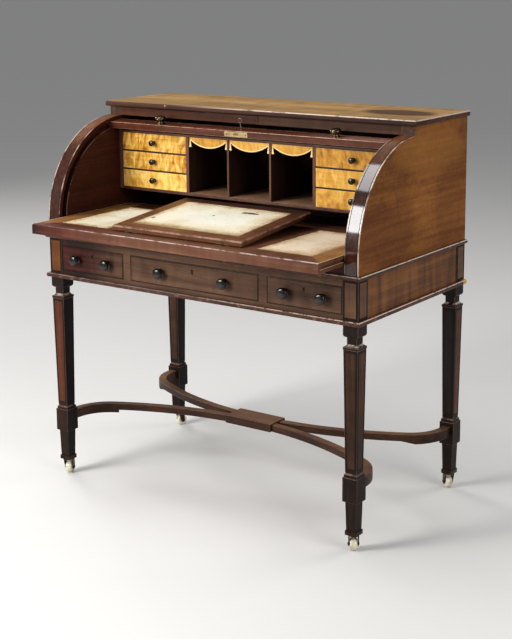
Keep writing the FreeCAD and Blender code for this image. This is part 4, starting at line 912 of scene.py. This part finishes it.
def leather_piece(name, low, high, material, body, tilt=Matrix()):
    """A leather laid in its recess: slightly cockled, with a blind tooled line near its edge."""
    def stops(start, end):
        inner_start, inner_end = start + TOOLED_LINE + GROOVE, end - TOOLED_LINE - GROOVE
        middle = [inner_start + (inner_end - inner_start) * i / CELLS for i in range(1, CELLS)]
        return [start, start + RIM, start + TOOLED_LINE - GROOVE, start + TOOLED_LINE, inner_start, *middle,
                inner_end, end - TOOLED_LINE, end - TOOLED_LINE + GROOVE, end - RIM, end]

    xs, ys = stops(low.x, high.x), stops(low.y, high.y)
    points = []
    for y in ys:
        for x in xs:
            inside = min(x - low.x, high.x - x, y - low.y, high.y - y)
            wave = math.sin(x * 47 + 1.3 * math.sin(y * 31)) + math.sin(y * 39 + 2 * math.sin(x * 23))
            drop = LAID_DROP - COCKLE * wave
            if inside < RIM / 2:
                drop += RIM_DROP
            if abs(inside - TOOLED_LINE) < 0.0001:
                drop += TOOLED_DROP
            points.append(Vector((x, y, high.z - drop)))
    wide, deep = len(xs), len(ys)
    faces = [(j * wide + i, j * wide + i + 1, (j + 1) * wide + i + 1, (j + 1) * wide + i)
             for j in range(deep - 1) for i in range(wide - 1)]
    rim = list(range(wide)) + [j * wide + wide - 1 for j in range(1, deep)]
    rim += [(deep - 1) * wide + i for i in range(wide - 2, -1, -1)] + [j * wide for j in range(deep - 2, 0, -1)]
    base = len(points)
    points += [Vector((points[index].x, points[index].y, low.z)) for index in rim]
    count = len(rim)
    faces += [(rim[(k + 1) % count], rim[k], base + k, base + (k + 1) % count) for k in range(count)]
    faces.append(tuple(base + k for k in range(count - 1, -1, -1)))
    heap = Heap()
    heap.add([tilt @ point for point in points], faces)
    return piece_from(name, heap, material, body, COCKLED)


def box_of(points):
    """The lowest and highest corners of some points."""
    return (Vector([min(point[axis] for point in points) for axis in range(3)]),
            Vector([max(point[axis] for point in points) for axis in range(3)]))


CREAM = ((196, 182, 146), (220, 208, 178), (232, 224, 202), (226, 225, 214))
TAN = ((186, 158, 126), (218, 196, 166), (234, 218, 194), (228, 214, 196))
SCARS = [(0.066, -0.109, 0.030, 0.008), (-0.0105, -0.163, 0.004, 0.004), (-0.150, -0.238, 0.006, 0.006)]
SLIDE_DIRT, SLOPE_DIRT = 0.35, 0.6
for side, name in ((-1, "left"), (1, "right")):
    low, high = box_of([vertex.co for vertex in nodes["slide_leathers"].data.vertices if vertex.co.x * side > 0])
    skin = "slide_leather_" + name
    mats[skin] = leather(skin, low, high, CREAM if side < 0 else TAN, SLIDE_DIRT)
    piece = leather_piece("leather_" + name, low, high, skin, "slide")
    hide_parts("slide_leathers")

pivot = Vector(SLOPE_HINGE)
tilt = Matrix.Translation(pivot) @ Matrix.Rotation(SLOPE_ANGLE, 4, "X") @ Matrix.Translation(-pivot)
low, high = box_of([tilt.inverted() @ vertex.co for vertex in nodes["slope_leather"].data.vertices])
skin = "slope_leather_skin"
mats[skin] = leather(skin, low, high, CREAM, SLOPE_DIRT, SCARS)
piece = leather_piece("leather_slope", low, high, skin, "slope", tilt)
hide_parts("slope_leather")


# Turned and small pieces

def turned(heap, profile, place, segments=28):
    """Add a turned solid: (radius, height) points up the local Z axis, from base to tip."""
    rings = []
    for radius, height in profile:
        ring = []
        for step in range(segments):
            turn = 2 * math.pi * step / segments
            ring.append(place @ Vector((radius * math.cos(turn), radius * math.sin(turn), height)))
        rings.append(ring)
    heap.loop_strip(rings)


def slab(heap, low, high, place=Matrix()):
    """A box between two corners."""
    corners = [(x, y, z) for z in (low[2], high[2]) for x, y in ((low[0], low[1]), (high[0], low[1]),
                                                                 (high[0], high[1]), (low[0], high[1]))]
    heap.add([place @ Vector(corner) for corner in corners],
             [(3, 2, 1, 0), (4, 5, 6, 7), (0, 1, 5, 4), (1, 2, 6, 5), (2, 3, 7, 6), (3, 0, 4, 7)])


def facing_front(x, y, z):
    """A place whose local Z axis points to the front."""
    return Matrix.Translation((x, y, z)) @ Matrix.Rotation(math.pi / 2, 4, "X")


FRIEZE_KNOB = [(0.0112, -0.001), (0.0115, 0.0010), (0.0115, 0.0020), (0.0104, 0.0031), (0.0082, 0.0041),
               (0.0073, 0.0056), (0.0075, 0.0072), (0.0094, 0.0090), (0.0122, 0.0106), (0.0140, 0.0128),
               (0.0145, 0.0150), (0.0140, 0.0171), (0.0124, 0.0189), (0.0100, 0.0200), (0.0070, 0.0206),
               (0.0036, 0.0208), (0.0006, 0.0209)]
LID_KNOB = [(0.0098, -0.001), (0.0100, 0.0012), (0.0092, 0.0026), (0.0070, 0.0040), (0.0064, 0.0062),
            (0.0084, 0.0084), (0.0122, 0.0102), (0.0145, 0.0128), (0.0150, 0.0152), (0.0145, 0.0176),
            (0.0126, 0.0197), (0.0098, 0.0210), (0.0064, 0.0217), (0.0032, 0.0219), (0.0006, 0.0220)]
SMALL_KNOB = [(0.0058, -0.0004), (0.0059, 0.0020), (0.0050, 0.0034), (0.0045, 0.0056), (0.0047, 0.0072),
              (0.0073, 0.0082), (0.0084, 0.0104), (0.0086, 0.0121), (0.0079, 0.0138), (0.0061, 0.0150),
              (0.0036, 0.0154), (0.0006, 0.0156)]

for name in DRAWERS:
    knobs = Heap()
    low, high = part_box("drawer_knobs_" + name)
    middle = (low.x + high.x) / 2
    xs = [vertex.co.x for vertex in nodes["drawer_knobs_" + name].data.vertices]
    for group in ([x for x in xs if x < middle], [x for x in xs if x > middle]):
        place = facing_front((min(group) + max(group)) / 2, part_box("drawer_" + name)[0].y, (low.z + high.z) / 2)
        turned(knobs, FRIEZE_KNOB, place)
    piece = piece_from("turned_knobs_" + name, knobs, "ebony", "frieze_drawer_" + name, ROUND)
    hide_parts("drawer_knobs_" + name)

for name in SMALL_DRAWERS:
    node = "small_drawer_" + name
    low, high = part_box(node)
    knobs = Heap()
    turned(knobs, SMALL_KNOB, facing_front((low.x + high.x) / 2, NEST_FRONT, (low.z + high.z) / 2))
    piece_from("small_knob_" + name, knobs, "ebony", "small_drawer_body_" + name, ROUND)

lid_turn = (Matrix.Translation((0, LID_AXIS_Y, LID_AXIS_Z)) @ Matrix.Rotation(-LID_OPEN_ANGLE, 4, "X")
            @ Matrix.Translation((0, -LID_AXIS_Y, -LID_AXIS_Z)))
knobs = Heap()
for side in SIDES:
    place = facing_front(side * LID_KNOB_X, LID_AXIS_Y - LID_RADIUS, LID_AXIS_Z + LID_FITTING_RISE)
    turned(knobs, LID_KNOB, lid_turn @ place)
piece = piece_from("turned_lid_knobs", knobs, "bronze", "lid", ROUND)
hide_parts("cylinder_knobs")

LOCK_X, SCREW_REACH = -0.020, 0.031
SCREW = [(0.0026, -0.0004), (0.0026, 0.0001), (0.0020, 0.0004), (0.0002, 0.0005)]
SCREW_SLOT = ((-0.0020, -0.0003, 0.0001), (0.0020, 0.0003, 0.00056))
screws, slots = Heap(), Heap()
for side in SIDES:
    place = lid_turn @ (Matrix.Translation((LOCK_X + side * SCREW_REACH, LID_AXIS_Y - LID_RAIL_MIDDLE, LID_AXIS_Z))
                        @ Matrix.Rotation(math.pi, 4, "X"))
    turned(screws, SCREW, place, 20)
    slab(slots, *SCREW_SLOT, place @ Matrix.Rotation(0.5 + side, 4, "Z"))
piece_from("lock_screws", screws, "brass", "lid", ROUND)
piece_from("lock_screw_slots", slots, "dark_brass", "lid")

# Pale edging and tassels of the valances

VALANCES = ((-0.2015, -0.07167), (-0.06567, 0.06567), (0.07167, 0.2015))
VALANCE_FRONT = NEST_FRONT + 0.003
SWAG_END, SWAG_DEPTH, SWAG_STEPS = 0.007, 0.027, 32
EDGING_WIDTH, EDGING_PROUD, EDGING_SUNK, EDGING_LAP = 0.0026, 0.0005, 0.0004, 0.0002
TASSEL_HEIGHT, TASSEL_NECK, TASSEL_INSET, TASSEL_FLATNESS = 0.027, 0.004, 0.0041, 0.45
TASSEL = [(0.0002, 0.0002), (0.0037, 0.0003), (0.0039, 0.0016), (0.0034, 0.0042), (0.0025, 0.0070),
          (0.0017, 0.0090), (0.0016, 0.0100), (0.0023, 0.0110), (0.0025, 0.0122), (0.0020, 0.0134),
          (0.0012, 0.0144), (0.0011, 0.0200), (0.0002, 0.0202)]
edging = Heap()
for x0, x1 in VALANCES:
    half = (x1 - x0) / 2 - TASSEL_NECK
    sag = SWAG_DEPTH - SWAG_END
    radius = (half ** 2 + sag ** 2) / (2 * sag)
    centre_x, centre_z = (x0 + x1) / 2, NEST_CEILING - SWAG_DEPTH + radius
    reach = math.asin(half / radius)
    rings = []
    for step in range(SWAG_STEPS + 1):
        turn = reach * (2 * step / SWAG_STEPS - 1)
        out = Vector((math.sin(turn), 0, -math.cos(turn)))
        ring = []
        for r, y in ((radius - EDGING_WIDTH, EDGING_SUNK), (radius - EDGING_WIDTH, -EDGING_PROUD),
                     (radius + EDGING_LAP, -EDGING_PROUD), (radius + EDGING_LAP, EDGING_SUNK)):
            ring.append(Vector((centre_x, VALANCE_FRONT + y, centre_z)) + out * r)
        rings.append(ring)
    edging.loop_strip(rings)
    for x in (x0 + TASSEL_INSET, x1 - TASSEL_INSET):
        flat = Matrix.Diagonal((1, TASSEL_FLATNESS, 1, 1))
        turned(edging, TASSEL, Matrix.Translation((x, VALANCE_FRONT, NEST_CEILING - TASSEL_HEIGHT)) @ flat, 16)
piece_from("valance_edging", edging, "holly", "case", ROUND)

# Dovetails at the drawers' front corners

TAILS, TAIL_NARROW, TAIL_WIDE = 3, 0.24, 0.36
TAIL_BACK, TAIL_TIP = -0.2510, -0.2645
TAIL_TOP_GAP, TAIL_SUNK, TAIL_THICK = 0.010, 0.0004, 0.0005
for name in DRAWERS:
    low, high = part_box("drawer_" + name)
    tails = Heap()
    pitch = (high.z - TAIL_TOP_GAP - low.z) / TAILS
    for side, x in ((-1, low.x), (1, high.x)):
        for row in range(TAILS):
            middle = low.z + pitch * (row + 0.5)
            narrow, wide = pitch * TAIL_NARROW, pitch * TAIL_WIDE
            outline = [(TAIL_BACK, middle - narrow), (TAIL_TIP, middle - wide),
                       (TAIL_TIP, middle + wide), (TAIL_BACK, middle + narrow)]
            ring = [Vector((x - side * TAIL_SUNK, y, z)) for y, z in outline]
            tails.loop_strip([ring, [point + Vector((side * TAIL_THICK, 0, 0)) for point in ring]])
    piece_from("dovetails_" + name, tails, "lining_end", "frieze_drawer_" + name)


# Stage

FLOOR_REACH, FLOOR_TONE, FLOOR_ROUGH = 60.0, (214, 212, 209), 0.75
SKY_TINT, SKY_POWER = (0.95, 0.97, 1.0, 1.0), 0.32
mat = Shader("pale_floor")
mat.finish(Base_Color=linear(*FLOOR_TONE), Roughness=FLOOR_ROUGH)
mesh = bpy.data.meshes.new("floor")
mesh.from_pydata([(-FLOOR_REACH, -FLOOR_REACH, 0), (FLOOR_REACH, -FLOOR_REACH, 0),
                  (FLOOR_REACH, FLOOR_REACH, 0), (-FLOOR_REACH, FLOOR_REACH, 0)], [], [(0, 1, 2, 3)])
floor = new_object("floor", mesh)
mesh.materials.append(mat.material)

world = bpy.data.worlds.new("studio")
bpy.context.scene.world = world
world.use_nodes = True
background = world.node_tree.nodes["Background"]
background.inputs[0].default_value = SKY_TINT
background.inputs[1].default_value = SKY_POWER


def area_light(name, place, target, size, power):
    """A square lamp that looks at a target; size is its width and height."""
    lamp = bpy.data.lights.new(name, "AREA")
    lamp.shape = "RECTANGLE"
    lamp.size, lamp.size_y = size
    lamp.energy = power
    holder = new_object(name, lamp)
    holder.location = place
    holder.rotation_euler = (Vector(target) - Vector(place)).to_track_quat("-Z", "Y").to_euler()


area_light("key", (-1.05, -2.55, 2.12), (0.1, -0.1, 0.75), (0.75, 1.35), 58)
area_light("key_low", (-1.75, -2.70, 1.35), (0, -0.1, 0.6), (1.0, 1.0), 52)
area_light("top", (-0.75, -0.62, 3.10), (0, 0, 0.8), (1.3, 1.1), 31)
area_light("fill", (3.2, -0.9, 1.9), (0.2, 0, 0.7), (1.6, 1.6), 42)
area_light("rear", (2.2, 2.8, 2.4), (0, 0, 0.6), (1.8, 1.4), 34)
area_light("rear_left", (-4.2, 1.4, 2.7), (0, 0, 0.7), (1.6, 1.4), 62)

# Camera, fitted to the photograph's corners of the top, base and legs
FOCAL_PIXELS, IMAGE_HEIGHT, SENSOR = 1365.2, 639, 36.0
YAW, PITCH, ROLL = 0.6169, 0.1854, 0.0077
LENS_SHIFT = -0.15
CAMERA_PLACE = (2.0898, -2.9352, 1.4020)
camera_data = bpy.data.cameras.new("camera")
camera_data.sensor_width = SENSOR
camera_data.lens = FOCAL_PIXELS / IMAGE_HEIGHT * SENSOR
camera_data.shift_y = LENS_SHIFT
camera = new_object("camera", camera_data)
forward = Vector((-math.sin(YAW) * math.cos(PITCH), math.cos(YAW) * math.cos(PITCH), -math.sin(PITCH)))
level = Vector((math.cos(YAW), math.sin(YAW), 0))
down = forward.cross(level)
right = math.cos(ROLL) * level + math.sin(ROLL) * down
up = math.sin(ROLL) * level - math.cos(ROLL) * down
turned_to_desk = Matrix((right, up, -forward)).transposed().to_4x4()
camera.matrix_world = Matrix.Translation(CAMERA_PLACE) @ turned_to_desk
bpy.context.scene.camera = camera
bpy.context.scene.view_settings.view_transform = "Standard"

bpy.context.view_layer.update()
